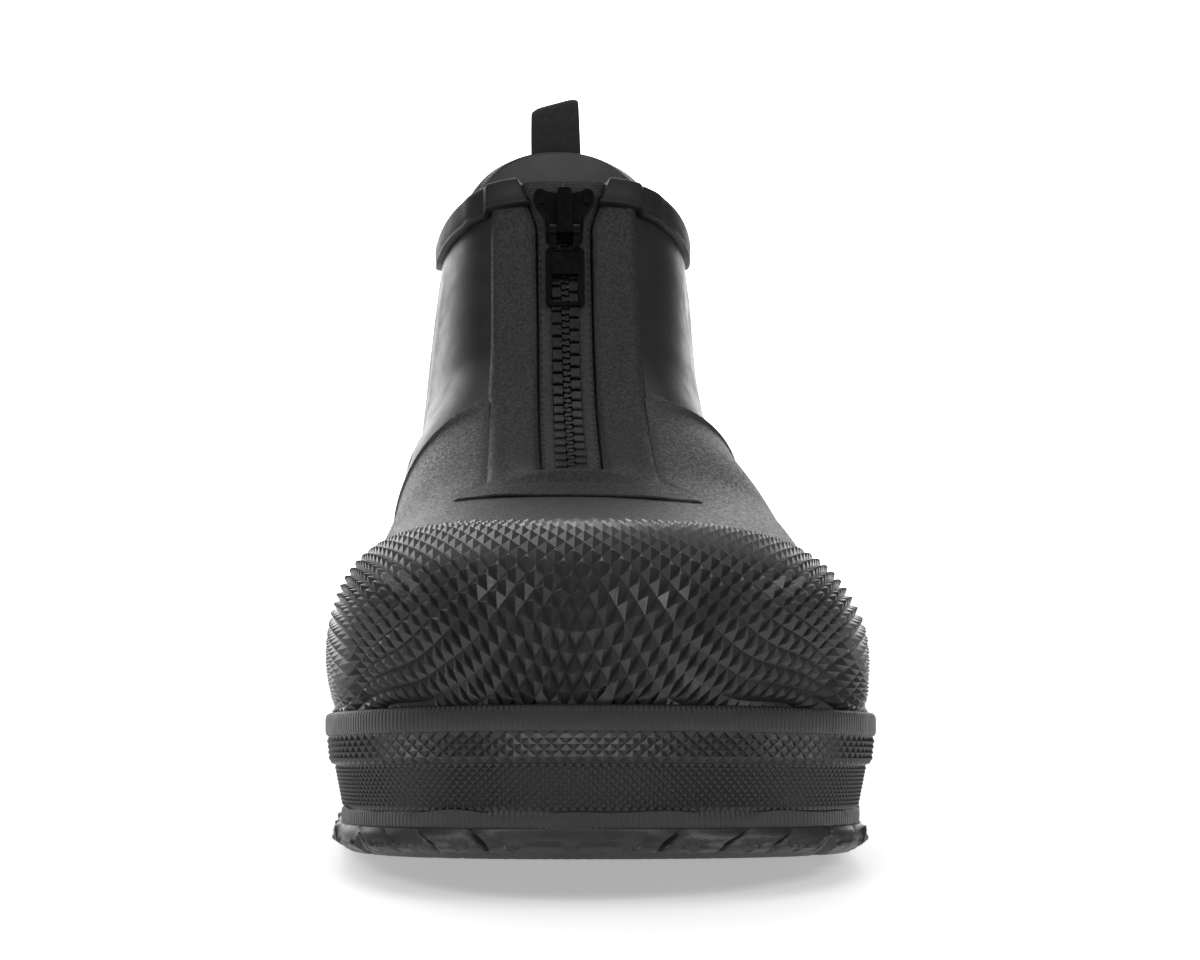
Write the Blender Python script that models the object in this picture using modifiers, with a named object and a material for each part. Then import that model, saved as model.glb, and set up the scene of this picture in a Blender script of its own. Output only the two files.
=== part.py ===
"""A left-foot rubber ankle overshoe with a front zip, as separate solids.

Sizes are in millimetres and become metres where a mesh is made. Along the shoe, s runs back from
the toe tip. In the finished frame the toe points to -Y, +X is the outer side of the foot and the
floor is at Z = 0.
"""

import math
from collections import namedtuple

import bmesh
import bpy
import numpy as np

MM = 0.001
GAP = 0.3

# Driving sizes of the shoe
LENGTH = 312.0
SIDE_SHIFT = -1.84
TOE_SPRING = 10.0
SPRING_END = 95.0
SPRING_POWER = 1.5
SOLE_EDGE = 8.8
HEEL_RISE = 9.0
HEEL_RISE_FROM = 120.0
HEEL_RISE_TO = 235.0

# Walls and layers
WALL = 2.5
FOXING_HEIGHT = 20.0
FOXING_OUT = 3.7
SKIRT_TUCK = 2.6
CAP_THICK = 2.0
VAMP_STEP = 1.2
PLACKET_THICK = 1.1
BAND_THICK = 1.7
INSOLE_THICK = 3.5
INSOLE_INSET = 6.4
INSOLE_LIFT = 0.6

# The outline of the upper where it leaves the foxing, seen from above
TOE_START = FOXING_OUT
TOE_CURVE_FROM = 58.0
HEEL_CURVE_FROM = 262.0
HEEL_END = LENGTH - FOXING_OUT
Outline = namedtuple("Outline", "s inner outer")
OUTLINE = (
    Outline(58, 53.8, 56.2),
    Outline(85, 55.8, 59.0),
    Outline(112, 55.0, 60.0),
    Outline(148, 47.5, 56.5),
    Outline(188, 38.0, 48.0),
    Outline(222, 35.5, 41.5),
    Outline(262, 36.5, 37.5),
)

# Half widths of the upper's side walls behind the instep, at rises above the foxing line: at the
# waist and the ankle on the inner and outer side, and at the heel, with the place of the back seam.
Level = namedtuple("Level", "rise back waist_inner waist_outer ankle_inner ankle_outer heel")
WAIST_S = 190.0
ANKLE_S = 228.0
HEEL_ROUND = 44.0
HEEL_FULL = 2.3
LEVELS = (
    Level(0, HEEL_END, 37.8, 47.6, 35.6, 40.6, 37.0),
    Level(28, HEEL_END + 1, 48.0, 50.5, 41.0, 42.0, 37.3),
    Level(52, HEEL_END - 1, 52.5, 50.5, 44.5, 42.5, 37.0),
    Level(80, 303, 49.5, 45.5, 43.5, 41.0, 36.3),
    Level(110, 297.5, 42.5, 40.5, 41.0, 39.6, 36.0),
    Level(142, 294.5, 38.8, 38.0, 39.3, 38.4, 34.5),
    Level(180, 293, 39.4, 38.4, 39.4, 38.4, 34.5),
)

# Sections of the upper from toe to collar. Each is an arch from the foxing, or from the back seam,
# over a point of the front profile. rise lifts its base above the foxing line, widest is how far up
# it the side wall ends and the arch over the top begins, the full columns say how square that arch
# is, sweep bows its sides back and dip lowers them, and steps counts the rows made up to the next.
Section = namedtuple(
    "Section", "name base_s rise top_x top_s top_z widest full_inner full_outer sweep dip steps"
)
SECTIONS = (
    Section("toe_edge", 58, 0, -7, TOE_START, 38.8, 0, 2.3, 2.2, 0, 0, 2),
    Section("toe_wall", 72, 0, -6, 5.0, 50, 0, 2.8, 2.6, 0, 0, 2),
    Section("toe_crown", 88, 0, -4.5, 14, 62, 0, 3.6, 3.1, 3, 0, 2),
    Section("toe_box", 104, 0, -3, 32, 69, 0, 4.4, 3.3, 8, 0, 2),
    Section("cap_edge", 120, 0, -2, 52, 72.8, 0, 5.0, 3.5, 12, 0, 3),
    Section("vamp_lip", 145, 0, -1.7, 95, 80.3, 0.1, 4.6, 4.6, 10, 0, 2),
    Section("zip_foot", 160, 0, -1.7, 112, 85.5, 0.2, 3.8, 4.0, 6, 0, 2),
    Section("instep", 190, 0, -1.7, 134, 98, 0.35, 3.0, 3.3, 0, 0, 2),
    Section("vamp_step", 235, 0, -1.7, 150, 112, 0.5, 2.6, 2.7, 0, 0, 5),
    Section("heel", HEEL_END, 0, -1.7, 160, 130, 0.62, 2.4, 2.5, 0, 0, 3),
    Section("ankle", 306.5, 46, -1.7, 166, 145, 0.62, 2.4, 2.4, 0, 4, 2),
    Section("shaft", 299, 100, -1.7, 171, 157.5, 0.6, 2.5, 2.5, 0, 14, 2),
    Section("band", 294, 170.2, -1.7, 174.2, 168.2, 0.55, 2.6, 2.6, 0, 24.5, 1),
    Section("collar", 293, 181.2, -1.7, 176, 178.7, 0.55, 2.6, 2.6, 0, 29, 0),
)
ROW_OF = {section.name: i for i, section in enumerate(SECTIONS)}
DIP_POWER = 1.15
SIDE_STEPS = 9

# The front opening and what lies along it, as half widths from the centre line
SLIT_HALF = 8.3
SLIT_FLARE = 4.7
SLIT_FLARE_OVER = 1.6
TAPE_LAP = 4.2
PLACKET_HALF = 22.5
PLACKET_LIP_HALF = 31.0


def smooth(at, places, values):
    """Monotone cubic through the values at their places."""
    places = np.asarray(places, float)
    values = np.asarray(values, float)
    width = np.diff(places)
    grade = np.diff(values) / width
    slope = np.zeros(len(values))
    for k in range(1, len(values) - 1):
        if grade[k - 1] * grade[k] > 0:
            before = 2 * width[k] + width[k - 1]
            after = width[k] + 2 * width[k - 1]
            slope[k] = (before + after) / (before / grade[k - 1] + after / grade[k])
    slope[0] = grade[0]
    slope[-1] = grade[-1]
    k = np.clip(np.searchsorted(places, at, side="right") - 1, 0, len(width) - 1)
    t = (at - places[k]) / width[k]
    start = values[k] * (1 + 2 * t) * (1 - t) ** 2 + slope[k] * width[k] * t * (1 - t) ** 2
    end = values[k + 1] * t * t * (3 - 2 * t) + slope[k + 1] * width[k] * t * t * (t - 1)
    return start + end


def ramp(value, low, high):
    t = np.clip((value - low) / (high - low), 0, 1)
    return t * t * (3 - 2 * t)


def floor_line(s):
    """Height of the tread's underside: the toe spring, then the floor."""
    return TOE_SPRING * np.clip(1 - s / SPRING_END, 0, 1) ** SPRING_POWER


def sole_top(s):
    return SOLE_EDGE + floor_line(s) + HEEL_RISE * ramp(s, HEEL_RISE_FROM, HEEL_RISE_TO)


def foxing_top(s):
    return sole_top(s) + FOXING_HEIGHT


def outline_half(side, s):
    """Half width of the upper at the foxing line on the inner (-1) or outer (+1) side, with no heel."""
    column = [row.outer if side > 0 else row.inner for row in OUTLINE]
    return smooth(np.clip(s, TOE_CURVE_FROM, HEEL_CURVE_FROM), [row.s for row in OUTLINE], column)


def back_seam(rise):
    return smooth(np.clip(rise, 0, LEVELS[-1].rise), [row.rise for row in LEVELS], [row.back for row in LEVELS])


def level_half(side, s, rise):
    """Half width of the side wall behind the instep by the table of levels."""
    rises = [row.rise for row in LEVELS]
    rise = np.clip(rise, 0, rises[-1])
    columns = [
        [row.waist_outer if side > 0 else row.waist_inner for row in LEVELS],
        [row.ankle_outer if side > 0 else row.ankle_inner for row in LEVELS],
        [row.heel for row in LEVELS],
    ]
    waist, ankle, heel = (smooth(rise, rises, column) for column in columns)
    fore = ramp(s, WAIST_S, ANKLE_S)
    aft = ramp(s, ANKLE_S, HEEL_END - HEEL_ROUND)
    return waist + (ankle - waist) * fore + (heel - ankle) * aft


def wall_half(side, s, z):
    """Half width of the upper's side wall at a place and height, closing to nothing at the back seam."""
    s = np.asarray(s, float)
    rise = z - foxing_top(s)
    grown = level_half(side, s, rise) - level_half(side, s, 0 * s)
    along = np.clip((s - back_seam(rise)) / HEEL_ROUND + 1, 0, 1)
    return (outline_half(side, s) + grown) * (1 - along**HEEL_FULL) ** (1 / HEEL_FULL)


def section_at(u):
    """The section at place u, where whole numbers are the rows of the table."""
    places = range(len(SECTIONS))
    columns = zip(*[section[1:] for section in SECTIONS])
    return Section("", *(float(smooth(u, places, column)) for column in columns))


def half_arch(u, side):
    """One side of the arch at u, from its top to its base, as a dense row of points."""
    row = section_at(u)
    base_s = back_seam(row.rise) if u >= ROW_OF["heel"] else row.base_s
    base_z = foxing_top(base_s) + row.rise
    full = row.full_outer if side > 0 else row.full_inner
    turn = np.linspace(math.pi / 2, 0, 60)
    reach = np.cos(turn) ** (2 / full)
    f = row.widest + (1 - row.widest) * np.sin(turn) ** (2 / full)
    if row.widest > 0:
        down = np.linspace(0, math.pi / 2, 60)[1:]
        reach = np.append(reach, np.ones(len(down)))
        f = np.append(f, row.widest * (1 - np.sin(down)))
    s = base_s + (row.top_s - base_s) * f + row.sweep * reach**2 * f
    z = base_z + (row.top_z - base_z) * f - row.dip * np.sin(math.pi * np.clip(f, 0, 1)) ** DIP_POWER
    on_foxing = max(0.0, 1 - u)
    z = z + on_foxing * (foxing_top(s) - z)
    wall = wall_half(side, s, z)
    half = wall[59]
    over = np.clip((f - row.widest) / (1 - row.widest), 0, 1)
    upright = (wall - half) * (1 - over) ** 2 * (1 - ramp(u, ROW_OF["zip_foot"], ROW_OF["instep"]))
    lean = row.top_x * f
    x = lean + side * (half + upright - side * lean) * reach
    x[60:] = side * wall[60:]
    return np.column_stack([x, s, z])


def slit_half(u):
    return SLIT_HALF + SLIT_FLARE * ramp(u, len(SECTIONS) - 1 - SLIT_FLARE_OVER, len(SECTIONS) - 1)


def placket_half(u):
    lip = ROW_OF["vamp_lip"]
    return PLACKET_HALF + (PLACKET_LIP_HALF - PLACKET_HALF) * (1 - ramp(u, lip, lip + 1.0))


def column_distances(u, length):
    """Distances from the centre line of the columns of one side: slit, tape, placket, then even steps."""
    slit = slit_half(u)
    tape = slit + TAPE_LAP
    edge = placket_half(u)
    rest = np.linspace(edge, length, SIDE_STEPS + 1)[1:]
    return np.concatenate([[slit, tape, (tape + edge) / 2, edge], rest])


CENTRE = 4 + SIDE_STEPS
SLIT_COLUMN = 1
TAPE_COLUMN = 2
PLACKET_COLUMN = 4


def along_arch(u, side, distances=None):
    """Points of one side of the upper at u, at distances from the centre line or on its columns."""
    dense = half_arch(u, side)
    run = np.concatenate([[0], np.cumsum(np.linalg.norm(np.diff(dense, axis=0), axis=1))])
    at = column_distances(u, run[-1]) if distances is None else distances
    return np.column_stack([np.interp(at, run, dense[:, k]) for k in range(3)])


def surface_row(u):
    """The columns of the upper at u, from its inner base over the centre line to its outer base."""
    return np.vstack([along_arch(u, -1)[::-1], half_arch(u, 1)[:1], along_arch(u, 1)])


def rows_between(first, last):
    """Row places from one named section to another, with the table's steps in each stretch."""
    places = []
    for i in range(ROW_OF[first], ROW_OF[last]):
        places.extend(i + np.arange(SECTIONS[i].steps) / SECTIONS[i].steps)
    return np.array(places + [float(ROW_OF[last])])


STEP_WIDTH = 0.05
ROWS = np.sort(np.append(rows_between("toe_edge", "collar"), ROW_OF["vamp_step"] + STEP_WIDTH))
SURFACE = np.array([surface_row(u) for u in ROWS])
HEEL_ROW = int(np.argmin(np.abs(ROWS - ROW_OF["heel"])))


def row_index(name):
    return int(np.argmin(np.abs(ROWS - ROW_OF[name])))


def foot_loop():
    """The foxing line as a closed loop: heel tip, inner side, toe, outer side."""
    inner = SURFACE[HEEL_ROW:0:-1, 0]
    toe = SURFACE[0]
    outer = SURFACE[1:HEEL_ROW, -1]
    return np.vstack([inner, toe, outer])


LOOP = foot_loop()


def loop_normals():
    ahead = np.roll(LOOP, -1, axis=0) - np.roll(LOOP, 1, axis=0)
    normal = np.column_stack([ahead[:, 1], -ahead[:, 0], np.zeros(len(LOOP))])
    return normal / np.linalg.norm(normal, axis=1, keepdims=True)


LOOP_OUT = loop_normals()


UPRIGHT_OVER = 5.0


def wall_normals(grid):
    """Level normals of the upright wall that the upper has just above the foxing."""
    side = np.where(grid[..., 0] < 0, -1.0, 1.0)
    grade = np.zeros(side.shape)
    for sign in (-1, 1):
        ahead = wall_half(sign, grid[..., 1] + 1, grid[..., 2])
        behind = wall_half(sign, grid[..., 1] - 1, grid[..., 2])
        grade = np.where(side == sign, (ahead - behind) / 2, grade)
    normal = np.stack([side, -grade, np.zeros(side.shape)], axis=-1)
    return normal / np.linalg.norm(normal, axis=-1, keepdims=True)


def surface_normals(grid):
    """Outward unit normals at the points of the upper's grid, level at the foxing line."""
    along = np.gradient(grid, axis=0)
    across = np.gradient(grid, axis=1)
    seam = grid[HEEL_ROW:, 1] - grid[HEEL_ROW:, -2]
    across[HEEL_ROW:, 0] = seam
    across[HEEL_ROW:, -1] = seam
    normal = np.cross(across, along)
    normal /= np.maximum(np.linalg.norm(normal, axis=2, keepdims=True), 1e-9)
    level = np.clip(1 - (grid[..., 2] - foxing_top(grid[..., 1])) / UPRIGHT_OVER, 0, 1)
    level[HEEL_ROW:] = 0
    level[0] = 0
    normal += (wall_normals(grid) - normal) * level[..., None]
    normal[0] = LOOP_OUT[HEEL_ROW : HEEL_ROW + grid.shape[1]]
    return normal / np.linalg.norm(normal, axis=2, keepdims=True)


NORMALS = surface_normals(SURFACE)


def swell():
    """How far the vamp layer stands out of the upper, up to the step at its top edge."""
    grown = VAMP_STEP * ramp(ROWS, ROW_OF["cap_edge"], ROW_OF["vamp_step"] - 0.5)
    grown[ROWS > ROW_OF["vamp_step"] + 0.01] = 0
    grown = np.repeat(grown[:, None], SURFACE.shape[1], axis=1)
    grown[:, CENTRE - PLACKET_COLUMN : CENTRE + PLACKET_COLUMN + 1] = 0
    return grown


def to_frame(points):
    """Design points (x, s, z) in millimetres as places in the finished frame, in metres."""
    points = np.asarray(points, float)
    moved = np.stack([points[..., 0] + SIDE_SHIFT, points[..., 1] - LENGTH / 2, points[..., 2]], axis=-1)
    return moved * MM


PARTS = bpy.data.collections.new("overshoe")
CUTTERS = bpy.data.collections.new("cutters")


def material(name, colour, roughness, metallic=0.0):
    made = bpy.data.materials.new(name)
    made.use_nodes = True
    shader = made.node_tree.nodes["Principled BSDF"]
    shader.inputs["Base Color"].default_value = (*colour, 1)
    shader.inputs["Roughness"].default_value = roughness
    shader.inputs["Metallic"].default_value = metallic
    return made


def add_object(name, mesh, finish, collection=None):
    obj = bpy.data.objects.new(name, mesh)
    (collection or PARTS).objects.link(obj)
    mesh.materials.clear()
    mesh.materials.append(finish)
    mesh.shade_smooth()
    mesh.set_sharp_from_angle(angle=math.radians(35))
    return obj


def mesh_of(name, bm):
    mesh = bpy.data.meshes.new(name)
    bmesh.ops.remove_doubles(bm, verts=bm.verts, dist=0.01 * MM)
    bmesh.ops.dissolve_degenerate(bm, edges=bm.edges, dist=0.005 * MM)
    bmesh.ops.recalc_face_normals(bm, faces=bm.faces)
    bm.to_mesh(mesh)
    bm.free()
    return mesh


def add_sheet(bm, grid, keep=None):
    """Adds quads over a grid of design points; keep(i, j) says which cells are there."""
    places = to_frame(grid)
    verts = [[bm.verts.new(p) for p in row] for row in places]
    for i in range(len(verts) - 1):
        for j in range(len(verts[0]) - 1):
            if keep is None or keep(i, j):
                bm.faces.new([verts[i][j], verts[i][j + 1], verts[i + 1][j + 1], verts[i + 1][j]])


def solidify(obj, thickness, outward):
    shell = obj.modifiers.new("wall", "SOLIDIFY")
    shell.thickness = thickness * MM
    shell.offset = 1.0 if outward else -1.0
    shell.use_even_offset = False
    shell.use_quality_normals = True


def shell_patch(name, rows, columns, lift, thickness, finish, keep=None, outward=True):
    """A layer over part of the upper's grid: an open surface lifted off it and given a thickness."""
    part = np.ix_(range(*rows), range(*columns))
    bm = bmesh.new()
    lifted = SURFACE[part] + NORMALS[part] * np.asarray(lift)[..., None]
    add_sheet(bm, lifted, keep)
    mesh = mesh_of(name, bm)
    face_outward(mesh)
    obj = add_object(name, mesh, finish)
    solidify(obj, thickness, outward)
    return obj


def face_outward(mesh):
    """Turns an open surface so that its faces point away from the middle of the foot."""
    middle = to_frame([0, LENGTH * 0.55, 70])
    outward = 0.0
    for face in mesh.polygons:
        outward += face.area * np.dot(face.normal, np.array(face.center) - middle)
    if outward < 0:
        mesh.flip_normals()


def loop_at(offset, height):
    """The foxing line moved outward, at a height above the sole's top there."""
    moved = LOOP + LOOP_OUT * offset
    moved[:, 2] = sole_top(LOOP[:, 1]) + height
    return moved


def skirt_offset(height):
    """Where the upper's skirt lies behind the foxing: it tucks in towards the sole."""
    return SKIRT_TUCK * (height / FOXING_HEIGHT - 1)


def make_upper(finish):
    bm = bmesh.new()
    grid = SURFACE + NORMALS * swell()[..., None]
    zip_row = row_index("zip_foot")

    def keep(i, j):
        return i < zip_row or j not in (CENTRE - 1, CENTRE)

    add_sheet(bm, grid, keep)
    skirt = np.array([LOOP, loop_at(skirt_offset(GAP), GAP)])
    add_sheet(bm, np.concatenate([skirt, skirt[:, :1]], axis=1))
    mesh = mesh_of("upper", bm)
    face_outward(mesh)
    solidify(add_object("upper", mesh, finish), WALL, outward=False)


def combine(obj, tool, operation):
    cut = obj.modifiers.new(tool.name, "BOOLEAN")
    cut.operation = operation
    cut.solver = "EXACT"
    cut.object = tool
    tool.hide_render = True
    tool.display_type = "WIRE"


def ring_solid(name, profile):
    """A closed ring round the foot from a closed profile of (height, out) places."""
    ring = np.array([loop_at(out, height) for height, out in profile + profile[:1]])
    bm = bmesh.new()
    add_sheet(bm, np.concatenate([ring, ring[:, :1]], axis=1))
    return mesh_of(name, bm)


def make_toe_cap(finish):
    last = row_index("cap_edge") + 1
    columns = (0, SURFACE.shape[1])
    lift = np.full((last, columns[1]), GAP)
    cap = shell_patch("toe_cap", (0, last), columns, lift, CAP_THICK, finish)
    below = [(FOXING_HEIGHT - 6, -4), (FOXING_HEIGHT - 6, 8), (FOXING_HEIGHT, 8), (FOXING_HEIGHT, -4)]
    clear = bpy.data.objects.new("foxing_clear", ring_solid("foxing_clear", below))
    CUTTERS.objects.link(clear)
    combine(cap, clear, "DIFFERENCE")


def make_placket(finish):
    first = row_index("vamp_lip")
    rows = (first, len(ROWS))
    columns = (CENTRE - PLACKET_COLUMN, CENTRE + PLACKET_COLUMN + 1)
    zip_row = row_index("zip_foot") - first

    def keep(i, j):
        return i < zip_row or j not in (PLACKET_COLUMN - 1, PLACKET_COLUMN)

    lift = np.full((rows[1] - rows[0], columns[1] - columns[0]), GAP)
    shell_patch("zip_placket", rows, columns, lift, PLACKET_THICK, finish, keep)


# The foxing's outer profile: height above the sole's top and how far out of the foxing line it lies
Profile = namedtuple("Profile", "name height out")
FOXING_PROFILE = (
    Profile("foot", 0.3, 0.4),
    Profile("fine_band_top", 8.8, 1.5),
    Profile("diamond_band_foot", 9.2, 2.1),
    Profile("diamond_band_top", 14.8, 2.9),
    Profile("lip_foot", 15.2, 3.5),
    Profile("lip_top", 19.0, 3.7),
    Profile("lip_round", 19.6, 3.2),
)


def make_foxing(finish):
    crown = FOXING_HEIGHT - GAP
    profile = [(row.height, row.out) for row in FOXING_PROFILE]
    profile.append((crown, skirt_offset(crown) + GAP))
    profile.append((GAP, skirt_offset(GAP) + GAP))
    add_object("foxing", ring_solid("foxing", profile), finish)


# The tread: where its rungs are cut across, and how deep and far back its blocks go
TREAD_CUTS = (0, 0.17, 0.235, 0.46, 0.54, 0.765, 0.83, 1)
LUG_COLUMNS = (0, 2, 4, 6)
TOE_BAR_RUNGS = 3
LUG_DEPTH = 5.0
ARCH_FROM = 150.0
ARCH_FULL = 175.0
ARCH_TO = 208.0
ARCH_LIFT = 2.6
WELT_DEPTH = 3.0
WELT_OUT = 0.9
LUG_OUT = 1.5


def tread_body(s):
    """Height of the sole's underside between its blocks."""
    arch = ramp(s, ARCH_FROM - 10, ARCH_FULL) * (1 - ramp(s, ARCH_TO - 8, ARCH_TO))
    return floor_line(s) + LUG_DEPTH + ARCH_LIFT * arch


def rungs(ring):
    """A loop as pairs of inner and outer points from toe to heel."""
    tip = HEEL_ROW + CENTRE
    count = len(ring)
    half = count // 2
    return [(ring[tip - k], ring[(tip + k) % count]) for k in range(half + 1)]


def across(ring, cuts, height):
    """Rungs of a loop cut at shares of their width; inner cuts lie at the height given for each place."""
    grid = np.array([[a + (b - a) * t for t in cuts] for a, b in rungs(ring)])
    inner = grid[1:-1, 1:-1]
    inner[..., 2] = height(inner[..., 1])
    return grid


def add_wall(bm, low, high):
    ring = np.array([low, high])
    add_sheet(bm, np.concatenate([ring, ring[:, :1]], axis=1))


def is_lug(i, j, s):
    """Whether the block at rung i and cut j stands down to the floor: a bar across the toe, then lugs."""
    if i < TOE_BAR_RUNGS:
        return True
    in_arch = ARCH_FROM - 16 < s < ARCH_TO
    is_gap = (i + j // 2) % 3 == 2 if j in (2, 4) else i % 3 == 0
    return j in LUG_COLUMNS and not is_gap and not in_arch


def make_outsole(finish):
    bm = bmesh.new()
    top = loop_at(WELT_OUT, 0.0)
    welt = loop_at(WELT_OUT, -WELT_DEPTH)
    ledge = loop_at(LUG_OUT, -WELT_DEPTH)
    foot = loop_at(LUG_OUT, 0.0)
    foot[:, 2] = tread_body(foot[:, 1])
    add_sheet(bm, across(top, (0, 0.5, 1), sole_top))
    add_wall(bm, top, welt)
    add_wall(bm, welt, ledge)
    add_wall(bm, ledge, foot)
    tread = across(foot, TREAD_CUTS, tread_body)
    add_sheet(bm, tread)
    bmesh.ops.remove_doubles(bm, verts=bm.verts, dist=0.01 * MM)
    bmesh.ops.recalc_face_normals(bm, faces=bm.faces)
    bm.faces.ensure_lookup_table()
    middles = (tread[:-1, :-1] + tread[1:, 1:]) / 2
    marked = set()
    for i, j in np.ndindex(middles.shape[:2]):
        if is_lug(i, j, middles[i, j, 1]):
            marked.add((i, j))
    corners = {}
    for i, j in marked:
        places = to_frame(tread[i : i + 2, j : j + 2].reshape(-1, 3))
        corners[tuple(np.round(places.mean(axis=0) / MM, 1))] = (i, j)
    lugs = []
    for face in bm.faces:
        places = np.array([vert.co for vert in face.verts])
        centre = tuple(np.round(places.mean(axis=0) / MM, 1))
        if face.normal.z < -0.5 and centre in corners:
            lugs.append(face)
    made = bmesh.ops.extrude_face_region(bm, geom=lugs)
    for item in made["geom"]:
        if isinstance(item, bmesh.types.BMVert):
            s = item.co.y / MM + LENGTH / 2
            item.co.z = floor_line(s) * MM
    bmesh.ops.delete(bm, geom=lugs, context="FACES")
    add_object("outsole", mesh_of("outsole", bm), finish)


def make_insole(finish):
    bm = bmesh.new()
    rings = []
    for lift in (INSOLE_LIFT, INSOLE_LIFT + INSOLE_THICK):
        ring = loop_at(-INSOLE_INSET, lift)
        add_sheet(bm, across(ring, (0, 0.5, 1), lambda s: sole_top(s) + lift))
        rings.append(ring)
    add_wall(bm, *rings)
    add_object("insole", mesh_of("insole", bm), finish)


# The collar's binding, raised where it passes over the placket
BAND_JOG = PLACKET_THICK + GAP


def make_collar_band(finish):
    rows = (row_index("band"), len(ROWS))
    columns = (0, SURFACE.shape[1])
    lift = np.full((rows[1] - rows[0], columns[1]), GAP)
    lift[:, CENTRE - PLACKET_COLUMN : CENTRE + PLACKET_COLUMN + 1] += BAND_JOG

    def keep(i, j):
        return j not in (CENTRE - 1, CENTRE)

    shell_patch("collar_band", rows, columns, lift, BAND_THICK, finish, keep)


# The zip: two tapes inside the wall, a row of teeth on each, a slider near the top and its pull tab
TAPE_THICK = 0.7
TAPE_PART = 0.25
TOOTH_PITCH = 4.7
TOOTH_THICK = 2.0
TOOTH_ROOT = 4.2
TOOTH_NECK = 1.3
TOOTH_TIP = 0.9
TOOTH_SINK = WALL
TEETH_STOP = 8.0
SLIDER_DOWN = 12.2
SLIDER_THICK = 1.8
SLIDER_LIFT = 0.35
BRIDGE_WIDE = 4.2
BRIDGE_LONG = 14.5
BRIDGE_TOP = 5.9
HINGE_DOWN = 6.2
HINGE_UP = 4.5
PIN_RADIUS = 0.8
PIN_REACH = 4.5
PIN_PLAY = 0.35
EYE_RADIUS = 1.9
EYE_FROM = 2.45
EYE_TO = 4.4
PULL_WIDE = 11.4
PULL_THICK = 1.6
PULL_FROM = 5.6
PULL_LONG = 23.6
PULL_CORNER = 1.5
WINDOW_FROM = 13.7
WINDOW_TO = 22.4
WINDOW_WIDE = 8.2
PULL_LEAN = -1.8


def make_tape(name, side, finish):
    """Half of the zip tape, just inside the upper's wall."""
    first = row_index("zip_foot") - 1
    strips = []
    for u in ROWS[first:]:
        slit = slit_half(u)
        at = np.array([TAPE_PART, slit / 2, slit, slit + TAPE_LAP - GAP])
        strips.append(along_arch(u, side, at))
    grid = np.array(strips)
    normal = np.cross(np.gradient(grid, axis=1), np.gradient(grid, axis=0)) * side
    normal /= np.linalg.norm(normal, axis=2, keepdims=True)
    bm = bmesh.new()
    add_sheet(bm, grid - normal * (WALL + GAP))
    mesh = mesh_of(name, bm)
    face_outward(mesh)
    solidify(add_object(name, mesh, finish), TAPE_THICK, outward=False)


def centre_line():
    """The front centre line above the foot of the zip, dense, with the length run along it."""
    places = np.linspace(ROW_OF["zip_foot"], ROW_OF["collar"], 240)
    line = np.array([half_arch(u, 1)[0] for u in places])
    run = np.concatenate([[0], np.cumsum(np.linalg.norm(np.diff(line, axis=0), axis=1))])
    return line, run


LINE, LINE_RUN = centre_line()


def zip_place(run, x, out):
    """A point beside the front centre line, x across it and out of it, with its direction upward."""
    here = np.array([np.interp(run, LINE_RUN, LINE[:, k]) for k in range(3)])
    ahead = np.array([np.interp(run + 1.5, LINE_RUN, LINE[:, k]) for k in range(3)])
    behind = np.array([np.interp(run - 1.5, LINE_RUN, LINE[:, k]) for k in range(3)])
    up = (ahead - behind) / np.linalg.norm(ahead - behind)
    normal = np.array([0, -up[2], up[1]])
    return here + np.array([x, 0, 0]) + normal * out, up


def make_teeth(name, side, finish):
    """One row of zip teeth: a comb whose teeth fall between those of the other row."""
    count = int((LINE_RUN[-1] - TEETH_STOP) / (TOOTH_PITCH / 2))
    across_x = np.array([TOOTH_ROOT, TOOTH_NECK, -TOOTH_TIP]) * side
    grid = []
    for k in range(count + 1):
        run = 0.8 + k * TOOTH_PITCH / 2
        inset = 0.15 if (k % 2 == 0) == (side > 0) else -0.15
        grid.append([zip_place(run + inset, x, -TOOTH_SINK)[0] for x in across_x])

    def keep(i, j):
        return j == 0 or (i % 2 == 0) == (side > 0)

    bm = bmesh.new()
    add_sheet(bm, np.array(grid), keep)
    mesh = mesh_of(name, bm)
    face_outward(mesh)
    solidify(add_object(name, mesh, finish), TOOTH_THICK, outward=True)


def zip_frame():
    """An empty on the front of the zip: its Y runs up the zip and its Z points out of it."""
    place, up = zip_place(LINE_RUN[-1] - SLIDER_DOWN, 0, 0)
    frame = bpy.data.objects.new("zip_frame", None)
    PARTS.objects.link(frame)
    frame.location = to_frame(place)
    frame.rotation_euler = (math.atan2(up[2], up[1]), 0, 0)
    return frame


def flat_plate(name, outline, thick, finish):
    """A flat plate from a closed outline in millimetres, centred on its own plane."""
    bm = bmesh.new()
    face = bm.faces.new([bm.verts.new((x * MM, y * MM, -thick / 2 * MM)) for x, y in outline])
    made = bmesh.ops.extrude_face_region(bm, geom=[face])
    for item in made["geom"]:
        if isinstance(item, bmesh.types.BMVert):
            item.co.z += thick * MM
    return add_object(name, mesh_of(name, bm), finish)


def box(name, size, place, collection):
    bm = bmesh.new()
    bmesh.ops.create_cube(bm, size=1.0)
    for vert in bm.verts:
        vert.co = [c * d * MM for c, d in zip(vert.co, size)]
    mesh = bpy.data.meshes.new(name)
    bm.to_mesh(mesh)
    bm.free()
    obj = bpy.data.objects.new(name, mesh)
    collection.objects.link(obj)
    obj.location = [c * MM for c in place]
    return obj


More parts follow.
